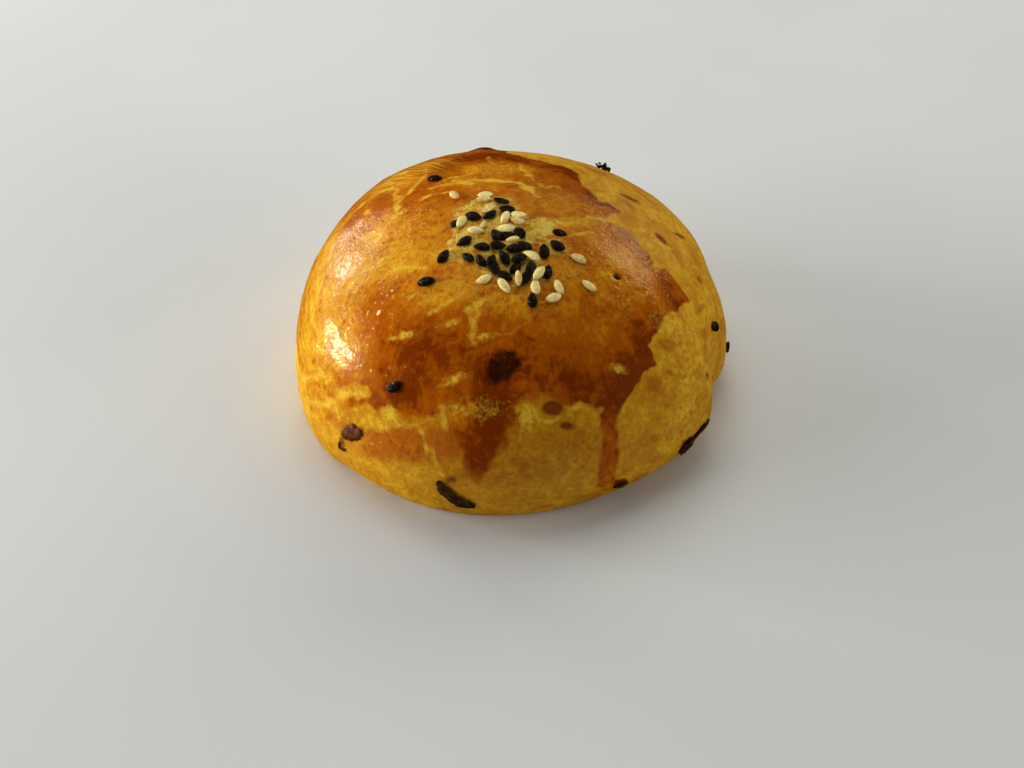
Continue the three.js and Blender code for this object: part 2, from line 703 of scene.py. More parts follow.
@dataclass
class CrustRelief:
    """Low relief of the crust, in millimetres out from the form."""

    settle: float = 0.14
    lumps: tuple[tuple[int, float, float], ...] = (
        (11, 12.0, 0.16),
        (12, 5.2, 0.09),
        (13, 2.4, 0.045),
    )
    wrinkle_depth: float = 0.05
    wrinkle_middle: float = 182.0
    wrinkle_spread: float = 46.0
    wrinkle_down: float = 51.0
    wrinkle_reach: float = 14.0
    wrinkle_gap: float = 1.9
    wrinkle_length: float = 17.0
    girth_of_degree: float = 0.86
    base_fade: float = 5.0
    crease: Line = Line(
        ((64, -20), (56, -22.5), (50, -24.5), (47, -23), (45.8, -19.5), (44.6, -15)), 1.3, -0.42
    )
    second_crease: Line = Line(((48.2, -35.2), (51, -35.9), (54.3, -36.1)), 0.9, -0.22)
    seed_bed: Oval = Oval(-1.5, -7.5, 27, 24, 0, -0.22)
    dimples: tuple[Dimple, ...] = (
        Dimple(-6.5, 33.0, 2.6, 0.85),
        Dimple(-4.6, 33.6, 1.2, 0.25),
        Dimple(22.2, -17.6, 0.75, -0.45),
        Dimple(45.7, -4.5, 0.6, -0.3),
        Dimple(-1.4, -40.3, 3.2, -0.3),
        Dimple(-39.9, -47.6, 2.6, -0.5),
        Dimple(9.5, -47.8, 1.8, -0.15),
        Dimple(13.3, -51.0, 1.3, -0.12),
        Dimple(50.1, -29.0, 0.8, -0.25),
        Dimple(-45.5, -49.6, 0.9, -0.25),
    )
    bubbles: tuple[Bubble, ...] = (
        Bubble(-20.5, -10.0, 0.55, 0.16),
        Bubble(28.0, -21.5, 0.6),
        Bubble(25.6, -24.0, 0.7),
        Bubble(30.4, -24.6, 0.5),
        Bubble(24.3, -20.9, 0.45),
        Bubble(17.8, -34.0, 0.5),
        Bubble(-31.4, -9.0, 0.5),
    )

    def height(self, x: Array, y: Array, length: Array | float) -> Array:
        """Relief at points of the chart.

        Args:
            x: First coordinates of the points.
            y: Second coordinates of the points.
            length: Length of the meridians there, down to the base edge.

        Returns:
            The height out from the form.
        """
        down = np.hypot(x, y)
        value = ripples(x, y, self.lumps, -self.settle) + self._wrinkles(x, y, down)
        for mark in (self.crease, self.second_crease, self.seed_bed):
            value = value + mark.soft(x, y)
        for mark in self.dimples + self.bubbles:
            value = value + mark.relief(x, y)
        fade = np.clip((length - down) / self.base_fade, 0.0, 1.0)
        return value * fade * fade * (3 - 2 * fade)

    def _wrinkles(self, x: Array, y: Array, down: Array) -> Array:
        """Fine folds that run round the bun where the dough was drawn in."""
        turn = turn_between(np.degrees(np.arctan2(y, x)), self.wrinkle_middle)
        girth = turn * self.girth_of_degree
        across = ChartNoise(21, 1.0)(down / self.wrinkle_gap, girth / self.wrinkle_length)
        ridge = 1.0 - 2.0 * np.abs(across)
        where = np.exp(-((turn / self.wrinkle_spread) ** 2))
        where = where * np.exp(-(((down - self.wrinkle_down) / self.wrinkle_reach) ** 2))
        return self.wrinkle_depth * ridge * where


@dataclass
class CrustMarks:
    """Where the egg wash lies and pools, where it cracked, where the oven scorched, and where glints
    and shade are painted.
    """

    wash_outline: tuple[tuple[float, float], ...] = (
        (0, 27), (2, 24), (6, 22.3), (9.5, 19.8), (12.3, 18), (14.2, 17), (15.6, 13), (16.5, 9),
        (19.5, 5), (25.5, 3.5), (20, -2), (24, -2.5), (27.5, -3.5), (31, -9), (31.5, -12),
        (35, -10), (42.5, -13), (38, -19), (34.5, -24), (30.5, -31), (32.5, -34.5),
        (28, -40.5), (26, -44.5), (25.5, -47), (26.6, -51), (29, -58), (31.8, -63), (29, -65),
        (25.6, -63.8), (23.2, -58.3), (21.8, -51.6), (20.3, -46.5), (16.4, -46), (12, -47),
        (7, -46.5), (3.2, -47.5), (2, -52), (-0.2, -54.3), (-2, -56.2), (-4.5, -59.5),
        (-6.5, -62.4), (-8, -63.6), (-9.6, -62), (-11, -59), (-11.8, -56.5), (-12.4, -53.7),
        (-13.2, -50.8), (-15, -49.2), (-20, -49.3), (-24, -48.5), (-26.5, -46), (-28.5, -45),
        (-29.8, -46.8), (-31.2, -45.6), (-33, -43.6), (-37, -42.4), (-43.5, -40.4),
        (-36.5, -40.6), (-31.5, -41.2), (-31.8, -39.8), (-36, -38.8), (-40, -37.2),
        (-44, -35.6), (-47, -33.8), (-48.5, -30), (-53, -26.4), (-57.5, -22), (-58.5, -15),
        (-64, -6), (-62, 6), (-58, 18), (-52, 28), (-46, 38), (-34, 46), (-22, 54), (-8, 57),
        (0, 50), (-2, 36),
    )  # fmt: skip
    wash_patches: tuple[Oval, ...] = (
        Oval(-50, -32.7, 17.5, 5.0, -28),
        Oval(-51, -37.9, 13.5, 3.6, -34),
        Oval(32.5, -63.5, 9, 4, 12),
        Oval(-26, -53.0, 12, 3.8, -20),
    )
    smears: tuple[Oval, ...] = (
        Oval(-27, -53, 26, 9, -8, 1.0),
        Oval(-15, -54, 13, 11, 0, 0.8),
        Oval(-44, -43, 12, 6, -30, 0.5),
        Oval(30, 22, 20, 5, -38, 0.35),
        Oval(38, 2, 22, 5, -66, 0.35),
        Oval(2, -70, 22, 5, 0, 0.3),
    )
    soft_edges: tuple[Oval, ...] = (
        Oval(-24, -52, 28, 11, -14, 1.0),
        Oval(-8, -61, 10, 8, 0, 0.8),
        Oval(-52, -32, 30, 14, -40, 0.5),
        Oval(6, -50, 24, 14, 0, 0.9),
        Oval(25, -56, 10, 18, 10, 0.5),
        Oval(-40, 30, 40, 24, 40, 0.7),
    )
    pools: tuple[Oval, ...] = (
        # Deep: the rear, the right edge, the middle and the runs
        Oval(3, 21, 22, 7, -32, 0.58),
        Oval(13, 14, 12, 6, -52, 0.60),
        Oval(20, 5, 14, 5, -10, 0.60),
        Oval(-10, 23, 16, 8, 20, 0.60),
        Oval(-6, 28, 16, 16, 0, 0.20),
        Oval(27, -6, 12, 6, -40, 0.40),
        Oval(37, -17, 12, 7, -50, 0.70),
        Oval(31, -28, 8, 14, -25, 0.55),
        Oval(27, -38, 12, 10, 30, 0.60),
        Oval(22, -44, 12, 6, 10, 0.50),
        Oval(25, -54, 6, 14, 10, 0.25),
        Oval(8, -40, 26, 14, 0, 0.35),
        Oval(-3, -49, 9, 12, 0, 0.85),
        Oval(-7, -56, 8, 14, -20, 0.85),
        Oval(-18, -37, 24, 14, 0, 0.50),
        Oval(-24, -44, 18, 6, -10, 0.40),
        Oval(-29, -28, 12, 24, 0, 0.15),
        Oval(-37, 9, 8, 6, 10, 0.35),
        Oval(-29, 11, 7, 10, 0, 0.40),
        Oval(-20, 9.5, 8, 8, 0, 0.30),
        Oval(-15, 17.5, 9, 6, 0, 0.50),
        Oval(-36, 22, 10, 7, 0, 0.35),
        Oval(0, -38, 60, 26, 0, 0.15),
        Oval(-14, 5, 16, 8, 0, 0.12),
        Oval(-50, -32.7, 20, 8, -28, -0.38),
        Oval(-51, -37.9, 16, 6, -34, -0.38),
        Oval(-38, -12, 16, 20, 0, -0.35),
        Oval(-31, -34, 10, 9, 0, -0.30),
        Oval(-60, -21, 9, 28, 8, -0.60),
        # Thin: gold shows through
        Oval(-12, -23, 18, 6, 18, -0.45),
        Oval(0, -26, 14, 6, 0, -0.40),
        Oval(-24, -6, 20, 16, 0, -0.38),
        Oval(-22, -15, 26, 6, 4, -0.40),
        Oval(-5, 15, 14, 6, -10, -0.35),
        Oval(-25, 21, 20, 12, -10, -0.20),
        Oval(-44, 0, 14, 30, -10, -0.48),
        Oval(-50, -20, 9, 22, 10, -0.50),
        Oval(-39, -26, 12, 12, 0, -0.40),
        Oval(11, -19, 14, 10, 0, -0.25),
        Oval(6, -31, 16, 7, 0, -0.15),
        Oval(14, 1, 14, 7, 0, -0.12),
        Oval(24, -14, 16, 14, 0, -0.12),
        Oval(13, -5, 16, 4, 20, -0.35),
    )
    cream: tuple[Oval, ...] = (
        Oval(-21.8, -31.6, 6.5, 1.9, -4, 1.0),
        Oval(-12.2, -30.8, 4.5, 1.2, 10, 0.7),
        Oval(-4.8, -34.0, 5.5, 1.7, 8, 1.0),
        Oval(-11.4, -42.0, 6, 1.9, 12, 1.0),
        Oval(-8.4, -48.2, 11, 3.8, 2, 0.27),
        Oval(23.3, -37.7, 5.4, 2.0, -4, 1.2),
        Oval(3.8, -49.6, 4, 5, 0, 0.7),
        Oval(-27, -46.6, 4.5, 3.2, 60, 0.6),
        Oval(-8.8, 8.3, 4.2, 2.6, -20, 1.2),
        Oval(-29.5, -48.5, 6, 2.6, -10, 0.7),
        Oval(-38.5, -32, 6, 3, -20, 0.6),
        Oval(-44.5, -24, 4, 16, 10, 0.5),
        Oval(-43, -33, 4, 3, 35, 0.7),
        Oval(-24, 2, 5, 2, 20, 0.6),
        Oval(44, -36, 18, 8, -70, 0.10),
        Oval(37, -26, 10, 7, -40, 0.10),
    )
    veins: tuple[Line, ...] = (
        # Round the islands of wash at the left rear
        Line(((-45, 6.5), (-41, 8.5), (-38.5, 12.5), (-34, 16), (-30, 17.3), (-27, 16.5),
              (-25, 13.5), (-25, 10), (-23.8, 7.2)), 0.8),
        Line(((-33, 15.5), (-32.6, 11.5), (-31.5, 7.5), (-29.8, 4.5)), 0.3),
        Line(((-23.8, 7.2), (-22, 11.2), (-20, 13.8), (-18.6, 17), (-19.2, 21)), 0.6),
        Line(((-24.6, 6.6), (-24.2, 3.5), (-24.6, 0.6), (-26.5, -1.6), (-29.5, -4)), 0.6),
        Line(((-19, 5), (-16, 5.8), (-13, 5.4)), 0.35),
        # Arcs behind the crown
        Line(((-15.4, 12.6), (-13, 12.4), (-10.5, 11.6), (-8.6, 12.6)), 0.9),
        Line(((-10.4, 9.6), (-7, 9.2), (-4, 8.7), (-1, 7.9), (2, 6.8), (4.4, 5.0)), 1.1),
        Line(((4.4, 5.0), (5.8, 2.8), (7.4, 0.4), (8, -1)), 0.55),
        Line(((-17, 9), (-14.5, 10.2), (-11, 10)), 0.4),
        Line(((-5.4, 24), (-4.4, 20.5), (-3.6, 17.8), (-2, 16.2), (0, 15), (0.8, 11.5)), 0.5),
        Line(((3, 16.5), (3.4, 13.4), (4.8, 9.6), (6.0, 6.8), (7.8, 5.5), (10, 6.4)), 0.6),
        Line(((8.5, -5), (11.3, -6), (14.3, -3.8), (16.9, -2.3), (20, -1.6)), 0.6),
        Line(((12, -9), (16, -7.6), (20, -7)), 0.4),
        # The left side
        Line(((-52.2, -4.7), (-49.9, 2.3), (-46, 5.2), (-41.6, 8.2)), 0.6),
        Line(((-47.6, -15.5), (-45.5, -8), (-42.3, -3.4)), 0.6),
        Line(((-47.2, -15), (-46, -22), (-46.6, -28), (-44, -34)), 0.8),
        Line(((-28, -16), (-22, -14.8), (-17, -16.5)), 0.3),
        Line(((-18, -12), (-24, -11), (-30, -13)), 0.5),
        Line(((-59, -32.6), (-54.5, -33.6), (-48.8, -36.3), (-43.2, -38.7), (-43, -42)), 0.7),
        Line(((-41, -38.4), (-36, -39.7), (-32, -40.8)), 0.9),
        Line(((-57, -25.5), (-52, -28.4), (-47, -30.6), (-41.5, -34), (-40.8, -36.6)), 0.6),
        # The middle and the front
        Line(((-16, -28.3), (-13.9, -25.8), (-8.4, -24.5), (-3.2, -23)), 0.35),
        Line(((-8.4, -28.1), (-5, -26.2), (-1.6, -24.9)), 0.35),
        Line(((-24, -22.5), (-18, -22.5), (-13, -21)), 0.45),
        Line(((-7, -35.5), (-7, -30), (-6.8, -26.6), (-3, -24.8), (1, -25.4), (5.5, -26.3)), 0.6),
        Line(((-28.5, -45), (-26.5, -47), (-25, -49), (-20.4, -50.4), (-19.6, -54),
              (-17.6, -58.4), (-16.5, -62)), 0.4),
        Line(((-33, -47), (-30, -49.4), (-25, -49.2)), 0.4),
        Line(((-14.6, -46.8), (-14.2, -51.2)), 0.5),
        Line(((1.8, -47.8), (3.4, -51), (2.6, -55)), 0.55),
        Line(((5, -46.8), (7, -49.6), (10, -50), (12.5, -48.2), (16, -46.8)), 0.45),
    )  # fmt: skip
    fibres: tuple[Oval, ...] = (
        Oval(-25, 23, 20, 14, -5, 1.0),
        Oval(-18, 25, 10, 12, 0, 0.7),
        Oval(6, 26, 12, 8, -40, 0.8),
    )
    # Painted highlights: pale dots painted as glints of light on raised blisters of the wash
    painted_glints: tuple[Oval, ...] = (
        Oval(-27.4, -24.6, 1.6, 1.1, 40),
        Oval(-24.2, -20.5, 0.9, 0.8),
        Oval(-28.2, -21.8, 0.8, 0.7),
        Oval(-25.4, -21.3, 0.6, 0.6),
        Oval(-31.9, -22.5, 0.8, 0.6),
        Oval(-35.6, -24.8, 1.2, 0.9),
        Oval(-36.6, -19.4, 0.9, 0.7),
        Oval(-32.6, -34.8, 1.1, 0.8),
        Oval(-30.1, -36.7, 0.9, 0.7),
        Oval(-35.4, -38.5, 1.4, 0.5, -8),
        Oval(-21.9, -38.1, 0.8, 0.6),
        Oval(-27.9, -26.6, 0.7, 0.5),
        Oval(-34.0, -51.5, 0.9, 0.7),
        Oval(-31.4, -51.8, 1.1, 0.6),
        Oval(-33.6, -29.3, 0.6, 0.6),
        Oval(-33.1, -31.8, 0.7, 0.5),
    )
    scorches: tuple[Oval, ...] = (
        Oval(-1.6, -40.6, 8.4, 5.6, 22),
        Oval(-0.4, -38.8, 5.6, 4.4, 0),
        Oval(-6.5, 33.2, 6.5, 4.0),
        Oval(22.2, -17.6, 1.5, 1.4, 0, 2.0),
        Oval(45.7, -4.5, 1.2, 1.2),
        Oval(50.4, -28.8, 1.5, 0.9, 40, 0.9),
        Oval(-40.2, -47.4, 5.6, 2.6, -8, 0.6),
        Oval(-47.2, -49.4, 3.0, 0.8, -42, 1.5),
        Oval(36.5, -63.2, 3.4, 2.2, 10),
        Oval(54.5, -45.5, 5, 3, 20, 0.8),
    )
    singes: tuple[Oval, ...] = (
        Oval(9.6, -47.7, 5.2, 3.4, 0),
        Oval(13.1, -50.9, 4.2, 2.0, -6),
        Oval(50.4, -28.8, 2.6, 1.2, 40),
        Oval(-40.2, -47.6, 8.6, 4.0, -10),
        Oval(-46.2, -48.0, 4.6, 2.6, 30, 0.6),
        Oval(34.3, 0.4, 4.2, 3.0, -20),
        Oval(41.0, 8.4, 5.5, 1.8, 35),
        Oval(27.0, 10.2, 6.5, 2.0, 0),
        Oval(21.5, -43.2, 4.4, 1.4, 12),
        Oval(34.0, -62.6, 7.0, 3.0, 6),
        Oval(15.6, -41.6, 0.7, 0.7),
        Oval(-14.6, -62.6, 4.4, 2.2, 10, 0.7),
    )
    wet: tuple[Oval, ...] = (
        Oval(-39, -27, 17, 21, 0, 1.0),
        Oval(-29, -27, 14, 22, 0, 0.6),
        Oval(-37, -5, 16, 20, 0, 0.8),
        Oval(-24, -4, 16, 20, 0, 0.5),
        Oval(24, -14, 24, 22, 0, 0.5),
    )
    pebbled: tuple[Oval, ...] = (
        Oval(-37, -5, 16, 22, 0, 1.0),
        Oval(-24, -4, 16, 20, 0, 0.5),
        Oval(24, -14, 22, 20, 0, 1.0),
        Oval(-44, -30, 8, 18, 20, 0.3),
        Oval(-35, -27, 14, 22, 0, 0.10),
    )
    stains: tuple[Oval, ...] = (
        Oval(26.7, 7.3, 6, 2.4, -35, 0.9),
        Oval(31.4, 16.0, 9, 3, -38, 0.8),
        Oval(20, 21.5, 9, 7, -30, 0.9),
        Oval(31.2, 21.9, 9, 3, -35, 0.8),
        Oval(38.0, -2.0, 12, 3, -62, 0.7),
        Oval(45, 4, 12, 6, -60, 0.6),
        Oval(34.8, -29.4, 6.5, 3.6, 12, 1.0),
        Oval(37.2, -34.8, 4, 1.6, -10, 0.8),
        Oval(33.2, -38.4, 5.6, 4.6, 20, 0.9),
        Oval(38.0, -49.4, 5, 3.5, 0, 0.8),
        Oval(46.5, -12.5, 8, 2.5, 60, 0.8),
        Oval(48.6, -18.4, 7, 4.0, 40, 0.8),
        Oval(42, -54.5, 7, 3.0, 20, 0.6),
        Oval(52, -24, 14, 2.4, 35, 0.6),
        Oval(24, 34, 16, 5, -30, 0.8),
        Oval(11.5, -72, 12, 3, 0, 0.7),
        Oval(1, -56.5, 8, 5, 0, 0.4),
    )
    # Painted shade: ovals on the lower front where the dough's colour is darkened as if in shade
    painted_front_shades: tuple[Oval, ...] = (
        Oval(7, -57, 36, 20, 0, 0.85),
        Oval(30, -54, 20, 16, 0, 0.35),
        Oval(-12, -62, 26, 14, 0, 0.45),
    )
    beds: tuple[Oval, ...] = (
        Oval(-3.0, -9.5, 17, 16),
        Oval(-4.5, -2.5, 14, 9, 10),
        Oval(0.5, -18.5, 14, 9, -10),
        Oval(6.5, -7.5, 8, 6, 20),
        Oval(-9.5, -13.0, 7, 8),
        Oval(9.0, -12.8, 6, 5),
    )

    ragged: tuple[tuple[int, float, float], ...] = ((31, 3.1, 0.75), (32, 1.3, 0.35))
    wander_across: tuple[tuple[int, float, float], ...] = ((41, 2.9, 0.7), (42, 1.2, 0.35))
    wander_along: tuple[tuple[int, float, float], ...] = ((43, 2.9, 0.7), (44, 1.2, 0.35))
    depths: tuple[str, ...] = ("wash", "vein", "cream", "scorch", "singe", "bed", "painted_glint")

    def wash(self, x: Array, y: Array) -> Array:
        """Depth inside the brushed egg wash in millimetres, below 0 where the dough is bare."""
        depth = depth_inside(x, y, self.wash_outline)
        for patch in self.wash_patches:
            depth = np.maximum(depth, patch.inside(x, y))
        return np.clip(depth + ripples(x, y, self.ragged), -FAR_DEPTH, FAR_DEPTH)

    def wander(self, x: Array, y: Array) -> tuple[Array, Array]:
        """Points of the chart moved a little to and fro, so that lines over them wander."""
        return x + ripples(x, y, self.wander_across), y + ripples(x, y, self.wander_along)

    def fields(self, x: Array, y: Array) -> dict[str, Array]:
        """Every mark's strength at points of the chart, by the name of its attribute."""
        return {
            "wash": self.wash(x, y),
            "pool": total(self.pools, x, y),
            "smear": strongest(self.smears, x, y),
            "soft_edge": strongest(self.soft_edges, x, y),
            "vein": deepest(self.veins, *self.wander(x, y), LINE_DEPTH),
            "cream": deepest(self.cream, x, y, SPOT_DEPTH),
            "scorch": deepest(self.scorches, x, y, SPOT_DEPTH),
            "singe": deepest(self.singes, x, y, SPOT_DEPTH),
            "wet": strongest(self.wet, x, y),
            "pebbled": strongest(self.pebbled, x, y),
            "stain": strongest(self.stains, x, y),
            "shade": total(self.painted_front_shades, x, y),
            "bed": deepest(self.beds, x, y, SPOT_DEPTH),
            "fibre": strongest(self.fibres, x, y),
            "painted_glint": deepest(self.painted_glints, x, y, PAINTED_GLINT_DEPTH),
        }


# --------------------------------------------------------------------------------------
# Finishes
# --------------------------------------------------------------------------------------


@dataclass(frozen=True)
class CrustFinish:
    """Baked dough under brushed egg wash."""

    dough: Colour = (0.60, 0.265, 0.005)
    dough_pale: Colour = (0.78, 0.43, 0.012)
    dough_tan: Colour = (0.47, 0.165, 0.0015)
    # The tint that the painted shade on the lower front multiplies the bare dough's colour by
    shade: Colour = (0.72, 0.56, 0.40)
    gold: Colour = (0.68, 0.32, 0.008)
    wash_thin: Colour = (0.58, 0.185, 0.002)
    wash_full: Colour = (0.42, 0.088, 0.0006)
    wash_deep: Colour = (0.20, 0.028, 0.0003)
    vein: Colour = (0.80, 0.49, 0.034)
    # The colour of the painted glints on the blisters
    painted_glint: Colour = (0.95, 0.68, 0.22)
    stain: Colour = (0.40, 0.115, 0.001)
    singed: Colour = (0.17, 0.024, 0.0008)
    scorch: Colour = (0.024, 0.005, 0.0010)
    bed: Colour = (0.80, 0.56, 0.090)
    baked: Colour = (0.22, 0.090, 0.018)
    sheen: Colour = (1.0, 0.82, 0.36)

    def build(self) -> bpy.types.Material:
        """Build the node material."""
        b = Bench("baked_crust")
        fine, grain, blotch = b.noise(0.5, 2.0), b.noise(1.3, 3.0), b.noise(6.0, 4.0, 0.6)
        jitter = (grain - 0.5) * 1.5 + (fine - 0.5) * 0.8
        patchy = b.noise(3.2, 3.0, 0.5)
        round_streak = self._streak(b, 1.1, 13.0)
        down_streak = self._streak(b, 7.0, 1.0)
        net = (1.0 - b.cracks(3.6, 2.6, 2.6).ramp(0.0, 0.13)) * b.noise(3.0, 2.0).ramp(0.42, 0.6)
        fine_net = 1.0 - b.cracks(1.7, 0.9, 1.4).ramp(0.02, 0.2)

        dough = self._dough(b, net, fine, grain, blotch)
        wash = b.attribute("wash")
        glaze = self._glaze(b, wash, down_streak, grain, blotch)

        # Where the wash lies: a ragged edge, softer in places, and a thin smear beyond it
        soft = 1.0 + b.attribute("soft_edge") * 4.0
        edge = wash + jitter * 0.55 + (blotch - 0.5) * (soft - 0.8) * 2.0
        covered = (edge / soft).ramp(-0.25, 0.45)
        smeared = (b.attribute("smear") * 1.4 + (blotch - 0.5) * 1.6 + (grain - 0.5) * 0.8 - 0.2)
        smeared = smeared.ramp(0.0, 0.8) * 0.95
        smear = b.blend(blotch.ramp(0.18, 0.48), self.wash_thin, self.wash_full)
        colour = b.blend(covered, b.blend(smeared, dough, smear), glaze)

        # Cracks and unwashed patches that show the pale dough
        crack = (b.attribute("vein") + jitter * 1.2 + (patchy - 0.5) * 2.2).ramp(-0.7, 0.8)
        patch = (b.attribute("cream") + jitter * 1.3).ramp(-0.3, 0.9)
        patch = patch * (0.45 + 0.55 * fine_net.most(net))
        streaked = round_streak.ramp(0.48, 0.60) * b.attribute("stretched")
        thin_net = net.most(fine_net * 0.7) * (0.35 - b.attribute("pool")).ramp(0.1, 0.8) * 0.45
        fibred = down_streak.ramp(0.44, 0.58) * b.attribute("fibre")
        pale = (crack * 0.85).most(patch * 0.9).most(streaked * 0.85).most(thin_net)
        pale = pale.most(fibred * 0.9)
        colour = b.blend(pale, colour, self.vein)

        # The bed of the seeds, the scorched spots and the browned underside
        in_bed = (b.attribute("bed") + jitter * 1.8 + (blotch - 0.5) * 2.0).ramp(-0.6, 1.0)
        seedy = b.blend(grain.ramp(0.36, 0.58), self.dough, self.bed)
        colour = b.blend(in_bed * (0.5 + 0.5 * fine.ramp(0.3, 0.6)), colour, seedy)
        singe = (b.attribute("singe") + jitter * 0.7).ramp(-0.3, 0.6)
        burn = b.attribute("scorch") + jitter * 1.3 + (patchy - 0.5) * 2.2
        colour = b.blend(burn.ramp(-0.8, 0.4).most(singe) * 0.93, colour, self.singed)
        burnt = burn.ramp(-0.1, 1.0) * (0.55 + 0.6 * grain)
        colour = b.blend(burnt.least(1.0), colour, self.scorch)
        browned = b.attribute("baked") * (0.35 + 0.6 * blotch.ramp(0.3, 0.7))
        colour = b.blend(browned.least(1.0), colour, self.baked)
        specks = b.noise(0.8, 1.0).ramp(0.70, 0.78) * b.noise(4.0, 1.0).ramp(0.5, 0.7) * 0.5
        colour = b.blend(specks, colour, self.stain)
        wet = b.attribute("wet")
        # Painted highlights: pale glints on raised blisters, scattered by noise in the wet wash and at
        # the listed places
        painted_glint_specks = (b.noise(0.75, 0.0).ramp(0.71, 0.78) * b.noise(3.0, 1.0).ramp(0.45, 0.6)) * wet
        painted_glint = (b.attribute("painted_glint") + jitter * 0.25).ramp(-0.05, 0.25)
        colour = b.blend(painted_glint.most(painted_glint_specks * covered), colour, self.painted_glint)

        gloss = covered * (1.0 - in_bed * 0.7) * (1.0 - b.attribute("baked"))
        pebble = self._pebbles(b)
        pebbled = b.attribute("pebbled") * gloss
        relief = pebble * (0.2 + gloss * 0.2 + pebbled * 0.9) * 0.05 + painted_glint.most(painted_glint_specks) * 0.10
        relief = relief + fine * (0.06 - wet * 0.055 + pebbled * 0.035 + in_bed * 0.05)
        relief = relief + grain * (0.11 - wet * 0.09 + pebbled * 0.08 + in_bed * 0.09)
        relief = relief + patchy * 0.08 + round_streak * 0.03
        relief = relief - (net * 0.03 + pale * 0.06) * (1.0 - wet * 0.85)
        relief = relief + burnt * grain * 0.25
        broken = (fine * 0.5 + grain * 0.5 + (patchy - 0.5) * 0.4).ramp(0.40, 0.62)
        rough = 0.55 - 0.29 * gloss - gloss * wet * (0.04 + 0.09 * broken)
        return b.finish(
            Base_Color=colour,
            Roughness=rough,
            IOR=1.40,
            Specular_Tint=(*self.sheen, 1.0),
            Normal=b.bump(relief, 1.0),
        )

    def _dough(
        self, b: Bench, net: Socket, fine: Socket, grain: Socket, blotch: Socket
    ) -> Socket:
        """Bare dough: gold, marbled with pale and tan, stained, and darkened by painted shade on the
        lower front.

        Args:
            b: The material's bench.
            net: A net of wandering lines.
            fine: The finest noise.
            grain: Fine noise.
            blotch: Coarse noise.

        Returns:
            Its colour.
        """
        stain = b.attribute("stain")
        marble = 0.5 + (blotch - 0.5) * 1.0 + (b.noise(2.8, 4.0, 1.4) - 0.5) * 0.7
        marble = marble + (grain - 0.5) * 0.5 + (fine - 0.5) * 0.4 + net * 0.14
        colour = b.blend(1.0 - marble.ramp(0.20, 0.56), self.dough, self.dough_tan)
        colour = b.blend(marble.ramp(0.44, 0.86), colour, self.dough_pale)
        stained = (stain + (grain - 0.5) * 0.9).ramp(0.35, 0.75)
        colour = b.blend(stained * 0.8, colour, self.stain)
        # Painted shade: the bare dough on the lower front is darkened as if the lights left it in shade
        painted_shade = (b.attribute("shade") + (blotch - 0.5) * 0.8).ramp(0.0, 1.0)
        painted_shade_tint = b.blend(painted_shade, (1.0, 1.0, 1.0), self.shade)
        return b.vector("MULTIPLY", colour, painted_shade_tint)

    def _glaze(
        self, b: Bench, wash: Socket, streak: Socket, grain: Socket, blotch: Socket
    ) -> Socket:
        """Egg wash: thin and golden to pooled and dark, streaked by the brush.

        Args:
            b: The material's bench.
            wash: Depth inside the wash's outline.
            streak: Streaks that run down the bun.
            grain: Fine noise.
            blotch: Coarse noise.

        Returns:
            Its colour.
        """
        body = 0.58 + (blotch - 0.5) * 1.2 + (b.noise(2.6, 4.0, 1.2) - 0.5) * 0.9
        body = body + (streak - 0.5) * 0.45 + (grain - 0.5) * 0.45
        body = body + b.attribute("pool") * 0.75 + self._rim(wash) * 0.10
        colour = b.blend(body.ramp(0.02, 0.34), self.gold, self.wash_thin)
        colour = b.blend(body.ramp(0.28, 0.70), colour, self.wash_full)
        return b.blend(body.ramp(0.66, 1.20), colour, self.wash_deep)

    @staticmethod
    def _pebbles(b: Bench) -> Socket:
        """Tiny rounded bumps of dried egg wash, 1 at their tops."""
        sockets = {"Vector": b.place(), "Scale": 1.0 / (0.75 * MM), "Smoothness": 0.35}
        cells = b.node("ShaderNodeTexVoronoi", {"feature": "SMOOTH_F1"}, sockets)
        away = b.out(cells, "Distance")
        return 1.0 - away * away

    @staticmethod
    def _streak(b: Bench, down_mm: float, round_mm: float) -> Socket:
        """Noise drawn out along or across the rings of the bun.

        Args:
            b: The material's bench.
            down_mm: Its grain measured down from the crown.
            round_mm: Its grain measured round the bun.

        Returns:
            The noise, from 0 to 1.
        """
        grains = (1 / down_mm, 1 / round_mm, 1 / round_mm)
        point = b.vector("MULTIPLY", b.attribute("ring", "Vector"), grains)
        sockets = {"Vector": point, "Scale": 1.0, "Detail": 4.0, "Distortion": 0.3}
        return b.out(b.node("ShaderNodeTexNoise", {}, sockets), "Fac")

    @staticmethod
    def _rim(wash: Socket) -> Socket:
        """The darker line just inside the edge of the wash."""
        return wash.ramp(-0.2, 0.6) * (1.0 - wash.ramp(0.6, 2.4))


@dataclass(frozen=True)
class SeedFinish:
    """The skin of a sesame seed."""

    name: str
    body: Colour
    shade: Colour
    tip: Colour
    roughness: float
    gloss: float
    rugged: float

    def build(self) -> bpy.types.Material:
        """Build the node material."""
        b = Bench(self.name)
        mottle = b.noise(0.7, 3.0, 0.4)
        along = b.attribute("along")
        colour = b.blend(mottle.ramp(0.35, 0.7), self.body, self.shade)
        colour = b.blend((1.0 - along.ramp(0.0, 0.22)) * 0.8, colour, self.tip)
        toast = b.attribute("toast")
        colour = b.blend(toast * mottle.ramp(0.25, 0.6), colour, self.tip)
        relief = b.noise(0.22, 2.0) * 0.5 + b.noise(0.6, 2.0)
        return b.finish(
            Base_Color=colour,
            Roughness=self.roughness + (mottle - 0.5) * 0.2,
            IOR=self.gloss,
            Specular_Tint=(1.0, 0.88, 0.70, 1.0),
            Normal=b.bump(relief, self.rugged),
        )


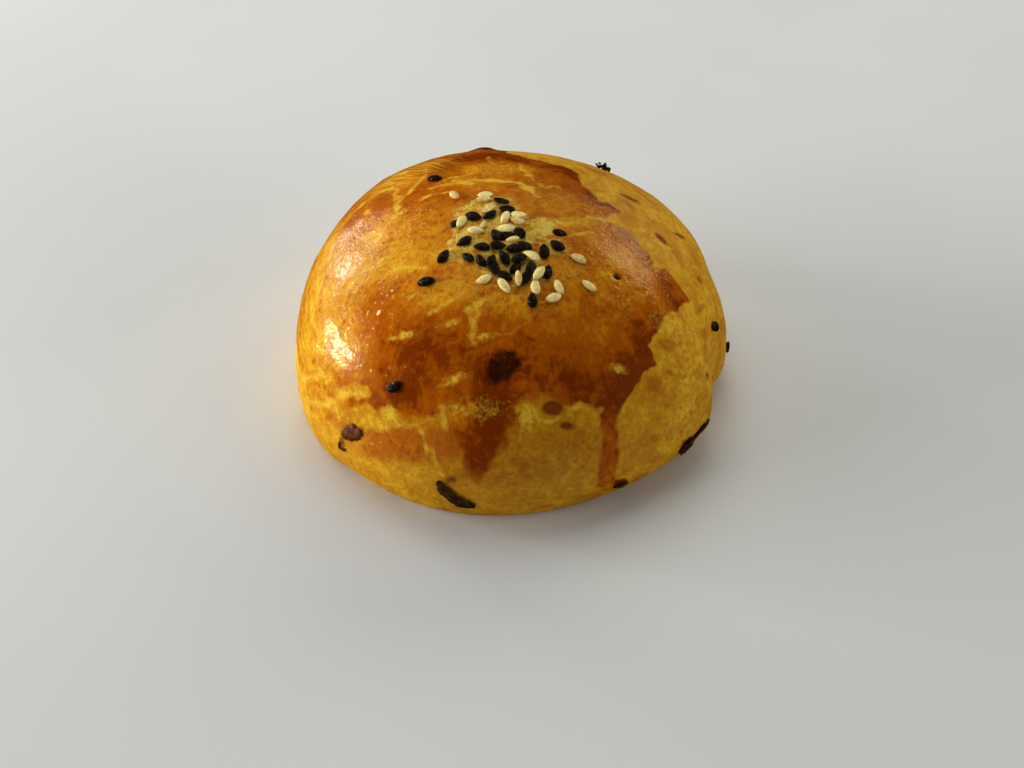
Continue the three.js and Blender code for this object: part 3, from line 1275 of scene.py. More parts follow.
WHITE_SKIN = SeedFinish(
    "white_sesame", (0.95, 0.82, 0.34), (0.84, 0.62, 0.18), (0.55, 0.24, 0.04), 0.36, 1.42, 0.10
)
BLACK_SKIN = SeedFinish(
    "black_sesame", (0.006, 0.004, 0.003), (0.018, 0.010, 0.005), (0.03, 0.018, 0.01),
    0.30, 1.38, 0.32,
)


@dataclass(frozen=True)
class CharFinish:
    """Burnt flakes: nearly black, with brown where they are thin."""

    black: Colour = (0.018, 0.009, 0.004)
    brown: Colour = (0.15, 0.045, 0.012)

    def build(self) -> bpy.types.Material:
        """Build the node material."""
        b = Bench("charred_flake")
        mottle, fine = b.noise(1.2, 4.0, 0.5), b.noise(0.3, 2.0)
        browned = mottle.ramp(0.5, 0.75) * 0.5 + b.attribute("toast") * mottle.ramp(0.25, 0.55)
        return b.finish(
            Base_Color=b.blend(browned.least(1.0), self.black, self.brown),
            Roughness=0.45 + (fine - 0.5) * 0.3,
            IOR=1.35,
            Specular_Tint=(1.0, 0.85, 0.65, 1.0),
            Normal=b.bump(mottle + fine * 0.6, 0.12),
        )


@dataclass(frozen=True)
class FloorFinish:
    """A pale matt tabletop."""

    pale: Colour = (0.74, 0.75, 0.72)
    shade: Colour = (0.70, 0.71, 0.68)

    def build(self) -> bpy.types.Material:
        """Build the node material."""
        b = Bench("pale_floor")
        cloud = b.noise(180.0, 3.0)
        return b.finish(
            Base_Color=b.blend(cloud.ramp(0.35, 0.65), self.pale, self.shade),
            Roughness=0.7,
            Normal=b.bump(b.noise(1.5, 2.0), 0.02),
        )


# --------------------------------------------------------------------------------------
# Meshes
# --------------------------------------------------------------------------------------


def make_object(
    name: str, points: Array, faces: list[tuple[int, ...]], material: bpy.types.Material
) -> bpy.types.Object:
    """Make a smooth mesh object.

    Args:
        name: The object's name.
        points: Its points in metres.
        faces: Its faces, as numbers of points.
        material: Its finish.

    Returns:
        The new object, linked to the scene.
    """
    mesh = bpy.data.meshes.new(name)
    mesh.from_pydata(points.tolist(), [], faces)
    mesh.validate()
    mesh.polygons.foreach_set("use_smooth", np.ones(len(mesh.polygons), dtype=bool))
    mesh.materials.append(material)
    mesh.update()
    piece = bpy.data.objects.new(name, mesh)
    bpy.context.scene.collection.objects.link(piece)
    return piece


def add_values(mesh: bpy.types.Mesh, name: str, values: Array) -> None:
    """Store a number, or a vector, at each point of a mesh.

    Args:
        mesh: The mesh.
        name: The attribute's name.
        values: One row for each point.
    """
    kind, field_name = ("FLOAT", "value") if values.ndim == 1 else ("FLOAT_VECTOR", "vector")
    attribute = mesh.attributes.new(name, kind, "POINT")
    attribute.data.foreach_set(field_name, np.ascontiguousarray(values, np.float32).ravel())


def ring_faces(start: int, count: int, next_start: int, next_count: int) -> list[tuple[int, ...]]:
    """Faces between two rings of points.

    Args:
        start: First point of one ring.
        count: How many points it has.
        next_start: First point of the next ring.
        next_count: How many points that has: as many, twice as many, half as many, or one.

    Returns:
        The faces, turned the same way in all these cases.
    """
    faces: list[tuple[int, ...]] = []
    for k in range(max(count, next_count) if 1 in (count, next_count) else min(count, next_count)):
        a, b = start + k, start + (k + 1) % count
        c, d = next_start + k, next_start + (k + 1) % next_count
        if count == 1:
            faces.append((start, c, d))
        elif next_count == 1:
            faces.append((a, next_start, b))
        elif count == next_count:
            faces.append((a, c, d, b))
        elif next_count > count:
            left, middle = next_start + 2 * k, next_start + 2 * k + 1
            right = next_start + (2 * k + 2) % next_count
            faces += [(a, left, middle), (a, middle, b), (b, middle, right)]
        else:
            left, middle = start + 2 * k, start + 2 * k + 1
            right = start + (2 * k + 2) % count
            faces += [(left, c, middle), (middle, c, d), (middle, d, right)]
    return faces


def tube_faces(start: int, rings: int, sides: int) -> list[tuple[int, ...]]:
    """Faces of a closed tube of rings, whose two end points come after its rings.

    Args:
        start: The number of its first point.
        rings: How many rings it has.
        sides: How many points each ring has.

    Returns:
        The faces. They face outward where the rings run anticlockwise, seen from the tube's
        start, and inward where they run clockwise.
    """
    first = start + rings * sides
    faces = ring_faces(first, 1, start, sides)
    for ring in range(rings - 1):
        here = start + ring * sides
        faces += ring_faces(here, sides, here + sides, sides)
    return faces + ring_faces(first - sides, sides, first + 1, 1)


@dataclass
class Ring:
    """A ring of the crust's points, where they lie on the chart, and what the marks need."""

    points: Array
    chart: Array
    length: Array
    baked: Array


@dataclass
class Crust:
    """The baked dough: the form, its relief and its marks, as one closed mesh."""

    form: BunForm = field(default_factory=BunForm)
    relief: CrustRelief = field(default_factory=CrustRelief)
    marks: CrustMarks = field(default_factory=CrustMarks)
    finish: CrustFinish = field(default_factory=CrustFinish)
    facets_round: int = 640
    fewest_facets: int = 5
    step: float = 0.5
    base_step: float = 1.1
    base_browning: float = 4.0
    surface_reach: float = 0.4
    slope_reach: float = 0.3
    stretched_from: float = 44.0
    stretched_fade: float = 3.0
    stretched_side: float = 187.0
    stretched_spread: float = 22.0
    ring_radius: float = 49.0
    map_scale: float = 0.355 / 78.0
    dome_disc: float = 0.365
    base_disc: float = 0.77

    def __post_init__(self) -> None:
        """Find where the knot stands, so that the form's box meets the solid's box."""
        low, high = (Vector(corner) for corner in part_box(NODE))
        azimuth = np.arange(SOLID_FACETS) * 360.0 / SOLID_FACETS
        radius, _, _ = self.form.meridians(azimuth)
        x = radius * np.cos(np.radians(azimuth))
        y = radius * np.sin(np.radians(azimuth))
        middle = (low + high) / 2
        knot_x = middle.x / MM - (x.min() + x.max()) / 2
        knot_y = middle.y / MM - (y.min() + y.max()) / 2
        self.knot = np.array([knot_x, knot_y, low.z / MM])
        self.box = np.array([low, high]) / MM

    def surface(self, x: float, y: float) -> tuple[Vector, Vector, Vector]:
        """A place on the finished crust.

        Args:
            x: First coordinate on the chart.
            y: Second coordinate on the chart.

        Returns:
            The point in millimetres, the direction out of the crust, and the direction on
            it in which the chart's first coordinate grows.
        """
        here = self._point(x, y)
        reach = self.surface_reach
        ahead = self._point(x + reach, y) - self._point(x - reach, y)
        aside = self._point(x, y + reach) - self._point(x, y - reach)
        out = ahead.cross(aside).normalized()
        return here, out, ahead.normalized()

    def _point(self, x: float, y: float) -> Vector:
        """A point of the form at a place on the chart, with the relief's height."""
        azimuth = np.array([math.degrees(math.atan2(y, x))])
        radius, height, distance = (column[:, 0] for column in self.form.meridians(azimuth))
        down = math.hypot(x, y)

        def at(column: Array, further: float = 0.0) -> float:
            """A value of the meridian here, or a little further down it."""
            return float(np.interp(down + further, distance, column))

        angle = math.radians(azimuth[0])
        place = Vector((at(radius) * math.cos(angle), at(radius) * math.sin(angle), at(height)))
        outward = at(radius, self.slope_reach) - at(radius, -self.slope_reach)
        upward = at(height, self.slope_reach) - at(height, -self.slope_reach)
        out = Vector((-upward * math.cos(angle), -upward * math.sin(angle), outward))
        lift = float(self.relief.height(np.array([x]), np.array([y]), distance[-1])[0])
        if out.length > 0:
            place += out.normalized() * lift
        return place + Vector(self.knot)

    def _facets(self, girth: float, step: float) -> int:
        """How many points a ring of this girth takes at most this step apart."""
        count = self.fewest_facets
        while girth / count > step and count < self.facets_round:
            count *= 2
        return count

    def build(self) -> bpy.types.Object:
        """Build and dress the crust."""
        azimuth = np.arange(self.facets_round) * 360.0 / self.facets_round
        radius, height, distance = self.form.meridians(azimuth)
        crown = np.array([[0.0, 0.0, height[0, 0]]])
        dome = [Ring(crown, np.zeros((1, 2)), distance[-1, :1], np.zeros(1))]
        dome += self._dome(azimuth, radius, height, distance)
        rings = dome + self._base(azimuth, radius[-1], distance[-1], len(dome[-1].length))
        counts = [len(ring.length) for ring in rings]
        starts = [0, *np.cumsum(counts).tolist()]
        faces: list[tuple[int, ...]] = []
        for k in range(len(counts) - 1):
            faces += ring_faces(starts[k], counts[k], starts[k + 1], counts[k + 1])
        place = np.vstack([ring.points for ring in rings]) + self.knot
        piece = make_object("baked_crust", place * MM, faces, self.finish.build())
        self._dress(piece.data, place, rings, starts[len(dome)])
        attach(piece, "root")
        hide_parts(NODE)
        return piece

    def _dome(
        self, azimuth: Array, radius: Array, height: Array, distance: Array
    ) -> list[Ring]:
        """Rings of the dome and the tuck below it, from the crown to the base edge.

        Args:
            azimuth: Azimuths of the meridians.
            radius: Their radius, one column for each azimuth.
            height: Their height.
            distance: The distance along them from the crown.

        Returns:
            The rings, without the crown's own point.
        """
        length = distance[-1]
        levels = int(math.ceil(length.max() / self.step))
        rings = []
        for level in range(1, levels + 1):
            share = level / levels
            girth = 2 * math.pi * self._girth_radius(radius, distance, share)
            columns = self._columns(self._facets(girth, self.step))
            down = share * length[columns]
            at = [
                (np.interp(s, distance[:, c], radius[:, c]), np.interp(s, distance[:, c], height[:, c]))
                for s, c in zip(down, columns)
            ]
            at_radius, at_height = np.array(at).T
            rings.append(
                self._ring(azimuth[columns], at_radius, at_height, down, length[columns], 0.0)
            )
        return rings

    def _base(self, azimuth: Array, edge: Array, length: Array, count: int) -> list[Ring]:
        """Rings of the underside, from the base edge to the knot.

        Args:
            azimuth: Azimuths of the meridians.
            edge: The radius of the base edge at each.
            length: The length of each.
            count: How many points the ring above has.

        Returns:
            The rings, the last of them a single point.
        """
        levels = int(round(edge.mean() / self.base_step))
        rings = []
        for level in range(1, levels + 1):
            share = 1 - level / levels
            girth = 2 * math.pi * edge.mean() * share
            fewest = count // 2
            count = 1 if level == levels else max(self._facets(girth, self.base_step), fewest)
            columns = self._columns(count)
            at_radius = edge[columns] * share
            rise = self.form.base_height(azimuth[columns], at_radius)
            down = length[columns] + edge[columns] * (1 - share)
            baked = min(1.0, level * self.base_step / self.base_browning)
            rings.append(
                self._ring(azimuth[columns], at_radius, rise, down, length[columns], baked)
            )
        return rings

    def _columns(self, count: int) -> Array:
        """Numbers of the meridians that a ring of this many points stands on."""
        return np.arange(count) * (self.facets_round // count)

    @staticmethod
    def _ring(
        azimuth: Array, radius: Array, height: Array, down: Array, length: Array, baked: float
    ) -> Ring:
        """Make a ring.

        Args:
            azimuth: Azimuths of its points.
            radius: Their radius.
            height: Their height.
            down: Their distance from the crown.
            length: The length of their meridians.
            baked: How far in on the underside they are, from 0 to 1.

        Returns:
            The ring.
        """
        angle = np.radians(azimuth)
        cos, sin = np.cos(angle), np.sin(angle)
        points = np.column_stack([radius * cos, radius * sin, height])
        chart = np.column_stack([down * cos, down * sin])
        return Ring(points, chart, length, np.full(len(azimuth), baked))

    @staticmethod
    def _girth_radius(radius: Array, distance: Array, share: float) -> float:
        """Largest radius of the ring at a share of the way down."""
        row = np.searchsorted(distance[:, 0], share * distance[-1, 0])
        return float(radius[min(row, len(radius) - 1)].max())

    def _dress(
        self, mesh: bpy.types.Mesh, place: Array, rings: list[Ring], dome_points: int
    ) -> None:
        """Raise the relief and store the marks.

        Args:
            mesh: The crust's mesh.
            place: Its points in millimetres.
            rings: The rings that they stand in.
            dome_points: How many of them lie above or on the base edge.
        """
        chart = np.vstack([ring.chart for ring in rings])
        length = np.concatenate([ring.length for ring in rings])
        normals = np.empty(len(place) * 3, dtype=np.float32)
        mesh.vertex_normals.foreach_get("vector", normals)
        normals = normals.reshape(-1, 3)
        x, y = chart[:, 0], chart[:, 1]
        above = np.arange(len(place)) < dome_points
        lift = np.where(above, self.relief.height(x, y, length), 0.0)
        place = np.clip(place + normals * lift[:, None], self.box[0], self.box[1])
        mesh.vertices.foreach_set("co", (place * MM).astype(np.float32).ravel())
        mesh.update()
        for name, values in self.marks.fields(x, y).items():
            shown = -FAR_DEPTH if name in self.marks.depths else 0.0
            add_values(mesh, name, np.where(above, values, shown))
        add_values(mesh, "baked", np.concatenate([ring.baked for ring in rings]))
        down = np.hypot(x, y)
        azimuth = np.arctan2(y, x)
        turn = turn_between(np.degrees(azimuth), self.stretched_side)
        sideways = np.exp(-((turn / self.stretched_spread) ** 2))
        stretched = sideways / (1 + np.exp(-(down - self.stretched_from) / self.stretched_fade))
        add_values(mesh, "stretched", np.where(above, stretched, 0.0))
        round_x, round_y = self.ring_radius * np.cos(azimuth), self.ring_radius * np.sin(azimuth)
        add_values(mesh, "ring", np.column_stack([down, round_x, round_y]))
        self._unwrap(mesh, chart, length, above)

    def _unwrap(self, mesh: bpy.types.Mesh, chart: Array, length: Array, above: Array) -> None:
        """Lay the dome and the underside out as two discs for baking.

        Args:
            mesh: The crust's mesh.
            chart: The places of its points on the chart.
            length: The length of their meridians.
            above: Which of them lie above or on the base edge.
        """
        corner_point = np.empty(len(mesh.loops), dtype=np.int32)
        mesh.loops.foreach_get("vertex_index", corner_point)
        totals = np.empty(len(mesh.polygons), dtype=np.int32)
        mesh.polygons.foreach_get("loop_total", totals)
        face_of_corner = np.repeat(np.arange(len(totals)), totals)
        beneath_face = np.zeros(len(totals), dtype=bool)
        np.logical_or.at(beneath_face, face_of_corner, ~above[corner_point])
        beneath = beneath_face[face_of_corner]
        down = np.hypot(chart[:, 0], chart[:, 1])
        direction = chart / np.maximum(down, 1e-6)[:, None]
        inside = np.maximum(length + self.form.radius - down, 0.0)
        top = self.dome_disc + chart * self.map_scale
        bottom = self.base_disc + direction * (inside * self.map_scale)[:, None]
        where = np.where(beneath[:, None], bottom[corner_point], top[corner_point])
        layer = mesh.uv_layers.new(name="OFBake")
        layer.data.foreach_set("uv", where.astype(np.float32).ravel())


class SeedKind(Enum):
    """The two kinds of sesame on the bun."""

    WHITE = "white_sesame"
    BLACK = "black_sesame"


@dataclass(frozen=True)
class SeedSpot:
    """Where one seed lies on the chart, where its tip points, and how it rests."""

    x: float
    y: float
    heading: float
    lift: float = 0.0
    size: float = 1.0
    lean: float = 0.0


WHITE_SPOTS = (
    SeedSpot(-11.3, 3.2, -60, size=0.88),
    SeedSpot(-5.0, 2.5, 175, size=0.95),
    SeedSpot(-5.3, 0.9, 188, size=0.95),
    SeedSpot(-4.5, -2.5, 230, 0.4, lean=-8),
    SeedSpot(-9.7, -5.8, 245),
    SeedSpot(-5.3, -7.0, 60, 0.0, 0.6, lean=-35),
    SeedSpot(-6.7, -8.5, -8, -0.15),
    SeedSpot(-0.8, -5.2, 250, 0.1),
    SeedSpot(2.1, -4.5, -12, 0.25),
    SeedSpot(1.8, -6.0, -30, -0.05),
    SeedSpot(-0.7, -8.4, 180, 0.4),
    SeedSpot(0.7, -11.8, 202, 0.65, 0.86),
    SeedSpot(4.4, -16.2, 148, 0.5),
    SeedSpot(13.9, -15.6, 160),
    SeedSpot(-5.1, -21.6, 207),
    SeedSpot(-0.9, -23.3, -55, 0.1),
    SeedSpot(1.8, -21.5, 92, 0.2, 0.95),
    SeedSpot(5.9, -20.6, 240, 0.5),
    SeedSpot(5.4, -23.4, 95, 0.1, 1.02),
    SeedSpot(10.1, -23.2, -65, size=0.95),
    SeedSpot(8.8, -25.6, 205),
    SeedSpot(16.1, -21.7, 145, size=0.92),
)

BLACK_SPOTS = (
    SeedSpot(-16.2, 12.7, -12),
    SeedSpot(-1.6, 0.2, 150, 0.1),
    SeedSpot(-0.4, -2.6, 172, 0.05),
    SeedSpot(-4.0, -4.0, 222, size=0.9),
    SeedSpot(-7.3, -4.3, -22),
    SeedSpot(-11.0, -5.7, 60, -0.3, 0.75),
    SeedSpot(-9.1, -11.5, 212, size=0.95),
    SeedSpot(-13.2, -15.0, 58),
    SeedSpot(-8.3, -15.8, 130, -0.05, 0.93),
    SeedSpot(-16.6, -20.8, 4),
    SeedSpot(-2.9, -9.9, 100, 0.0, 0.95),
    SeedSpot(-0.5, -10.2, 20, -0.1),
    SeedSpot(2.1, -9.5, 122, 0.15),
    SeedSpot(-5.5, -13.2, 180, 0.05),
    SeedSpot(-2.3, -13.3, 5, 0.3),
    SeedSpot(1.3, -14.1, 8, 0.05),
    SeedSpot(3.2, -13.3, 148, 0.35),
    SeedSpot(7.1, -14.4, 92),
    SeedSpot(9.8, -12.6, 140),
    SeedSpot(-5.5, -17.0, 115, 0.05),
    SeedSpot(-3.5, -17.3, 70, 0.35, 0.9),
    SeedSpot(-2.7, -18.7, 100, -0.1),
    SeedSpot(-1.0, -16.4, 118, 0.1),
    SeedSpot(2.1, -16.6, 30, 0.25),
    SeedSpot(1.3, -18.8, 50, -0.1, 0.9),
    SeedSpot(4.3, -19.2, 82, 0.45, 1.04),
    SeedSpot(-1.0, -20.8, 150, 0.1),
    SeedSpot(3.6, -21.1, 60, 0.05),
    SeedSpot(7.8, -19.7, 80),
    SeedSpot(4.7, -26.5, 92, size=0.92),
    SeedSpot(10.5, -8.7, -12, -0.4, 0.9),
    SeedSpot(-24.5, -41.3, 12),
    SeedSpot(53.2, -12.6, 50, 0.0, 1.1),
    SeedSpot(67.0, -5.2, 10, -0.05, 1.0),
)


@dataclass
class SesameSeeds:
    """The sesame of one kind, as one joined mesh of separate seeds."""

    kind: SeedKind
    spots: tuple[SeedSpot, ...]
    finish: SeedFinish
    length: float = 3.85
    width: float = 1.85
    thickness: float = 1.3
    sunk: float = 0.2
    rings: int = 17
    sides: int = 16
    seed: int = 5
    toasted: float = 0.25
    toasting: float = 0.45
    lengths: tuple[float, float] = (0.92, 1.06)
    widths: tuple[float, float] = (0.90, 1.08)
    thicknesses: tuple[float, float] = (0.9, 1.1)
    most_bend: float = 0.12
    most_dent: float = 0.12
    dent_reach: float = 0.35
    most_lean: float = 6.0
    most_roll: float = 12.0
    # The first number moves the fullest place away from the tip, the second blunts both ends
    outline: tuple[float, float] = (1.22, 0.53)
    profile: tuple[float, float] = (1.10, 0.50)
    roundness: float = 0.85

    def build(self, crust: Crust) -> bpy.types.Object:
        """Build and dress the seeds.

        Args:
            crust: The crust they lie on.

        Returns:
            The piece.
        """
        rng = np.random.default_rng(self.seed)
        points, faces, along, toast = [], [], [], []
        for spot in self.spots:
            local, share = self._seed(rng)
            start = sum(len(part) for part in points)
            matrix = self._place(spot, crust, rng)
            points.append(np.array([matrix @ Vector(p) for p in local * spot.size]))
            along.append(share)
            toast.append(np.full(len(local), self.toasting * float(rng.random() < self.toasted)))
            faces += tube_faces(start, self.rings, self.sides)
        name = self.kind.value
        place = np.clip(np.vstack(points), crust.box[0], crust.box[1])
        piece = make_object(name, place * MM, faces, self.finish.build())
        add_values(piece.data, "along", np.concatenate(along))
        add_values(piece.data, "toast", np.concatenate(toast))
        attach(piece, "root")
        return piece

    def _seed(self, rng: np.random.Generator) -> tuple[Array, Array]:
        """One seed lying along its first axis, its tip at the positive end.

        Args:
            rng: Draws its own size and bends.

        Returns:
            Its points, and how far each lies from the tip, from 0 to 1.
        """
        length = self.length * rng.uniform(*self.lengths)
        width = self.width * rng.uniform(*self.widths)
        thick = self.thickness * rng.uniform(*self.thicknesses)
        bend, dent = rng.uniform(-self.most_bend, self.most_bend), rng.uniform(0.0, self.most_dent)
        share = (1 - np.cos(np.linspace(0, math.pi, self.rings + 2)[1:-1])) / 2
        round_angle = np.linspace(0, 2 * math.pi, self.sides, endpoint=False)
        half_width, half_thick = (
            np.sin(math.pi * share**shift) ** blunt * size / 2
            for (shift, blunt), size in ((self.outline, width), (self.profile, thick))
        )
        side, up = np.cos(round_angle), np.sin(round_angle)
        y = half_width[:, None] * side
        z = half_thick[:, None] * np.sign(up) * np.abs(up) ** self.roundness
        z = z - dent * thick * np.exp(-((y / (self.dent_reach * width)) ** 2)) * (z > 0)
        x = (0.5 - share)[:, None] * length + 0 * y
        y = y + bend * np.sin(math.pi * share)[:, None] * width
        body = np.column_stack([x.ravel(), y.ravel(), z.ravel()])
        ends = np.array([[length / 2, 0, 0], [-length / 2, 0, 0]])
        shares = np.concatenate([np.repeat(share, self.sides), [0.0, 1.0]])
        return np.vstack([body, ends]), shares

    def _place(self, spot: SeedSpot, crust: Crust, rng: np.random.Generator) -> Matrix:
        """Where a seed goes.

        Args:
            spot: Its place on the chart.
            crust: The crust it lies on.
            rng: Draws its slight tilt.

        Returns:
            The matrix from the seed's own axes to the object's, in millimetres.
        """
        point, out, ahead = crust.surface(spot.x, spot.y)
        aside = out.cross(ahead).normalized()
        turn = math.radians(spot.heading)
        along = (ahead * math.cos(turn) + aside * math.sin(turn)).normalized()
        axes = Matrix((along, out.cross(along), out)).transposed().to_4x4()
        tilt = spot.lean + rng.uniform(-self.most_lean, self.most_lean)
        lean = Matrix.Rotation(math.radians(tilt), 4, "Y")
        roll_angle = rng.uniform(-self.most_roll, self.most_roll)
        roll = Matrix.Rotation(math.radians(roll_angle), 4, "X")
        height = self.thickness / 2 - self.sunk + spot.lift
        return Matrix.Translation(point + out * height) @ axes @ roll @ lean


@dataclass(frozen=True)
class Flake:
    """A charred flake: its line on the chart, its sizes, and how ragged and brown it is."""

    line: tuple[tuple[float, float], ...]
    width: float
    thickness: float = 0.5
    lift: float = 0.1
    ragged: float = 0.15
    brown: float = 0.1


@dataclass(frozen=True)
class CrumbBit:
    """A bit of the crumb: its offset from the crumb's middle, its height, size and turn."""

    x: float
    y: float
    height: float
    size: float
    turn: float


@dataclass
class CharBits:
    """Burnt flakes and crumbs stuck to the crust, as one joined mesh."""

    finish: CharFinish = field(default_factory=CharFinish)
    flakes: tuple[Flake, ...] = (
        Flake(((-18.4, -62.4), (-17.4, -65.0), (-15.4, -67.6), (-12.8, -69.6), (-9.4, -70.7)),
              3.1, 0.9, 0.0, 0.10, 0.25),
        Flake(((59.0, -35.8), (57.9, -38.4), (56.6, -41.2), (55.6, -44.4)), 1.6, 0.8, -0.1, 0.4),
        Flake(((56.4, -43.4), (54.8, -46.2), (53.2, -48.6)), 3.4, 1.1, -0.1, 0.4, 0.2),
        Flake(((32.2, -64.4), (34.4, -63.2), (37.0, -61.8)), 1.6, 0.5, -0.1, 0.3),
        Flake(((-44.2, -46.9), (-40.2, -47.3), (-36.0, -48.5)), 3.2, 1.5, -0.45, 0.2, 1.0),
        Flake(((21.7, -17.4), (22.8, -17.8)), 0.9, 0.5, -0.35, 0.2),
        Flake(((-46.4, -50.0), (-47.6, -49.2), (-48.4, -48.4), (-46.6, -47.3)), 0.6, 0.4, -0.1,
              0.2, 0.5),
    )
    crumb: tuple[float, float] = (22.6, 29.6)
    crumb_bits: tuple[CrumbBit, ...] = (
        CrumbBit(-1.5, 0.0, 0.5, 0.8, 150),
        CrumbBit(-0.6, 0.1, 0.5, 1.2, 30),
        CrumbBit(0.3, 0.0, 0.55, 1.3, 80),
        CrumbBit(1.0, 0.2, 0.45, 1.5, 20),
        CrumbBit(1.5, -0.1, 0.4, 0.9, 130),
        CrumbBit(0.1, 0.1, 1.25, 0.8, 60),
        CrumbBit(-1.1, 0.1, 1.05, 0.6, 10),
    )
    points_across: int = 8
    points_along: int = 22
    crumb_rings: int = 8
    seed: int = 9
    blunt_end: float = 0.45
    sway: float = 0.35
    edge_jitter: float = 0.12
    face_jitter: float = 0.25
    crumb_girth: float = 0.33
    crumb_length: float = 1.5
    crumb_jitter: float = 0.35

    def build(self, crust: Crust) -> bpy.types.Object:
        """Build and dress the flakes.

        Args:
            crust: The crust they are stuck to.

        Returns:
            The piece.
        """
        rng = np.random.default_rng(self.seed)
        points: list[Array] = []
        toast: list[Array] = []
        faces: list[tuple[int, ...]] = []
        for flake in self.flakes:
            self._add(self._flake(flake, crust, rng), points, faces)
            toast.append(np.full(len(points[-1]), flake.brown))
        for bit in self.crumb_bits:
            self._add(self._crumb(bit, crust, rng), points, faces)
            toast.append(np.zeros(len(points[-1])))
        place = np.clip(np.vstack(points), crust.box[0], crust.box[1])
        piece = make_object("charred_flakes", place * MM, faces, self.finish.build())
        add_values(piece.data, "toast", np.concatenate(toast))
        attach(piece, "root")
        return piece

    def _add(self, rings: Array, points: list[Array], faces: list[tuple[int, ...]]) -> None:
        """Add a closed tube of rings, with a point at each end.

        Args:
            rings: Its rings of points.
            points: The points so far.
            faces: The faces so far.
        """
        start = sum(len(part) for part in points)
        count, sides = rings.shape[:2]
        ends = np.array([rings[0].mean(axis=0), rings[-1].mean(axis=0)])
        points.append(np.vstack([rings.reshape(-1, 3), ends]))
        faces += tube_faces(start, count, sides)

    def _flake(self, flake: Flake, crust: Crust, rng: np.random.Generator) -> Array:
        """Rings of points along a flake that lies on the crust.

        They run clockwise, seen from its start, so its faces are turned inward.

        Args:
            flake: The flake.
            crust: The crust under it.
            rng: Draws its ragged edge.

        Returns:
            The rings of points, in millimetres.
        """
        corners = np.array(flake.line)
        reach = np.concatenate([[0], np.cumsum(np.hypot(*np.diff(corners, axis=0).T))])
        share = np.linspace(0.02, 0.98, self.points_along)
        x = np.interp(share * reach[-1], reach, corners[:, 0])
        y = np.interp(share * reach[-1], reach, corners[:, 1])
        rings = []
        for k, (s, px, py) in enumerate(zip(share, x, y)):
            ahead_k, back_k = min(k + 1, len(x) - 1), max(k - 1, 0)
            dx, dy = x[ahead_k] - x[back_k], y[ahead_k] - y[back_k]
            point, out, ahead = crust.surface(px, py)
            aside = out.cross(ahead).normalized()
            along = (ahead * dx + aside * dy).normalized()
            across = out.cross(along).normalized()
            full = math.sin(math.pi * s) ** self.blunt_end
            half = flake.width / 2 * full * (1 + flake.ragged * rng.uniform(-1, 1))
            thick = flake.thickness / 2 * (0.45 + 0.55 * full)
            shift = flake.width * flake.ragged * self.sway * rng.uniform(-1, 1)
            ring = []
            for j in range(self.points_across):
                angle = 2 * math.pi * j / self.points_across
                wide = half * math.cos(angle) * (1 + self.edge_jitter * rng.uniform(-1, 1)) + shift
                tall = thick * math.sin(angle) * (1 + self.face_jitter * rng.uniform(-1, 1))
                ring.append(point + across * wide + out * (tall + flake.lift + thick))
            rings.append(ring)
        return np.array(rings)

    def _crumb(self, bit: CrumbBit, crust: Crust, rng: np.random.Generator) -> Array:
        """Rings of points of one ragged bit of the crumb.

        Args:
            bit: The bit.
            crust: The crust under it.
            rng: Draws its ragged faces.

        Returns:
            The rings of points, in millimetres.
        """
        point, out, ahead = crust.surface(self.crumb[0] + bit.x, self.crumb[1] + bit.y)
        middle = point + out * bit.height
        angle = math.radians(bit.turn)
        aside = out.cross(ahead).normalized()
        along = ahead * math.cos(angle) + out * math.sin(angle)
        across = along.cross(aside).normalized()
        rings = []
        for s in np.linspace(0.06, 0.94, self.crumb_rings):
            half = bit.size * self.crumb_girth * math.sin(math.pi * s) ** 0.6
            centre = middle + along * ((s - 0.5) * bit.size * self.crumb_length)
            ring = []
            for j in range(self.points_across):
                around = 2 * math.pi * j / self.points_across
                far = half * (1 + self.crumb_jitter * rng.uniform(-1, 1))
                ring.append(
                    centre + across * (far * math.cos(around)) + aside * (far * math.sin(around))
                )
            rings.append(ring)
        return np.array(rings)


# --------------------------------------------------------------------------------------
# Studio
# --------------------------------------------------------------------------------------


@dataclass(frozen=True)
class Softbox:
    """A soft square light that faces the bun: its direction, distance, size and brightness.

    Only a mirrored one shows as a highlight on glossy surfaces.
    """

    azimuth: float
    elevation: float
    distance: float
    width: float
    height: float
    radiance: float
    warmth: Colour = (1.0, 1.0, 1.0)
    mirrored: bool = False

    def build(self, name: str, target: Vector) -> None:
        """Build the light.

        Args:
            name: Its name.
            target: The point it faces.
        """
        light = bpy.data.lights.new(name, "AREA")
        light.shape = "RECTANGLE"
        light.size, light.size_y = self.width, self.height
        light.energy = self.radiance * math.pi * self.width * self.height
        light.color = self.warmth
        lamp = bpy.data.objects.new(name, light)
        lamp.visible_glossy = self.mirrored
        turn, rise = math.radians(self.azimuth), math.radians(self.elevation)
        away = Vector(
            (math.cos(rise) * math.cos(turn), math.cos(rise) * math.sin(turn), math.sin(rise))
        )
        lamp.location = target + away * self.distance
        lamp.rotation_euler = away.to_track_quat("Z", "Y").to_euler()
        bpy.context.scene.collection.objects.link(lamp)


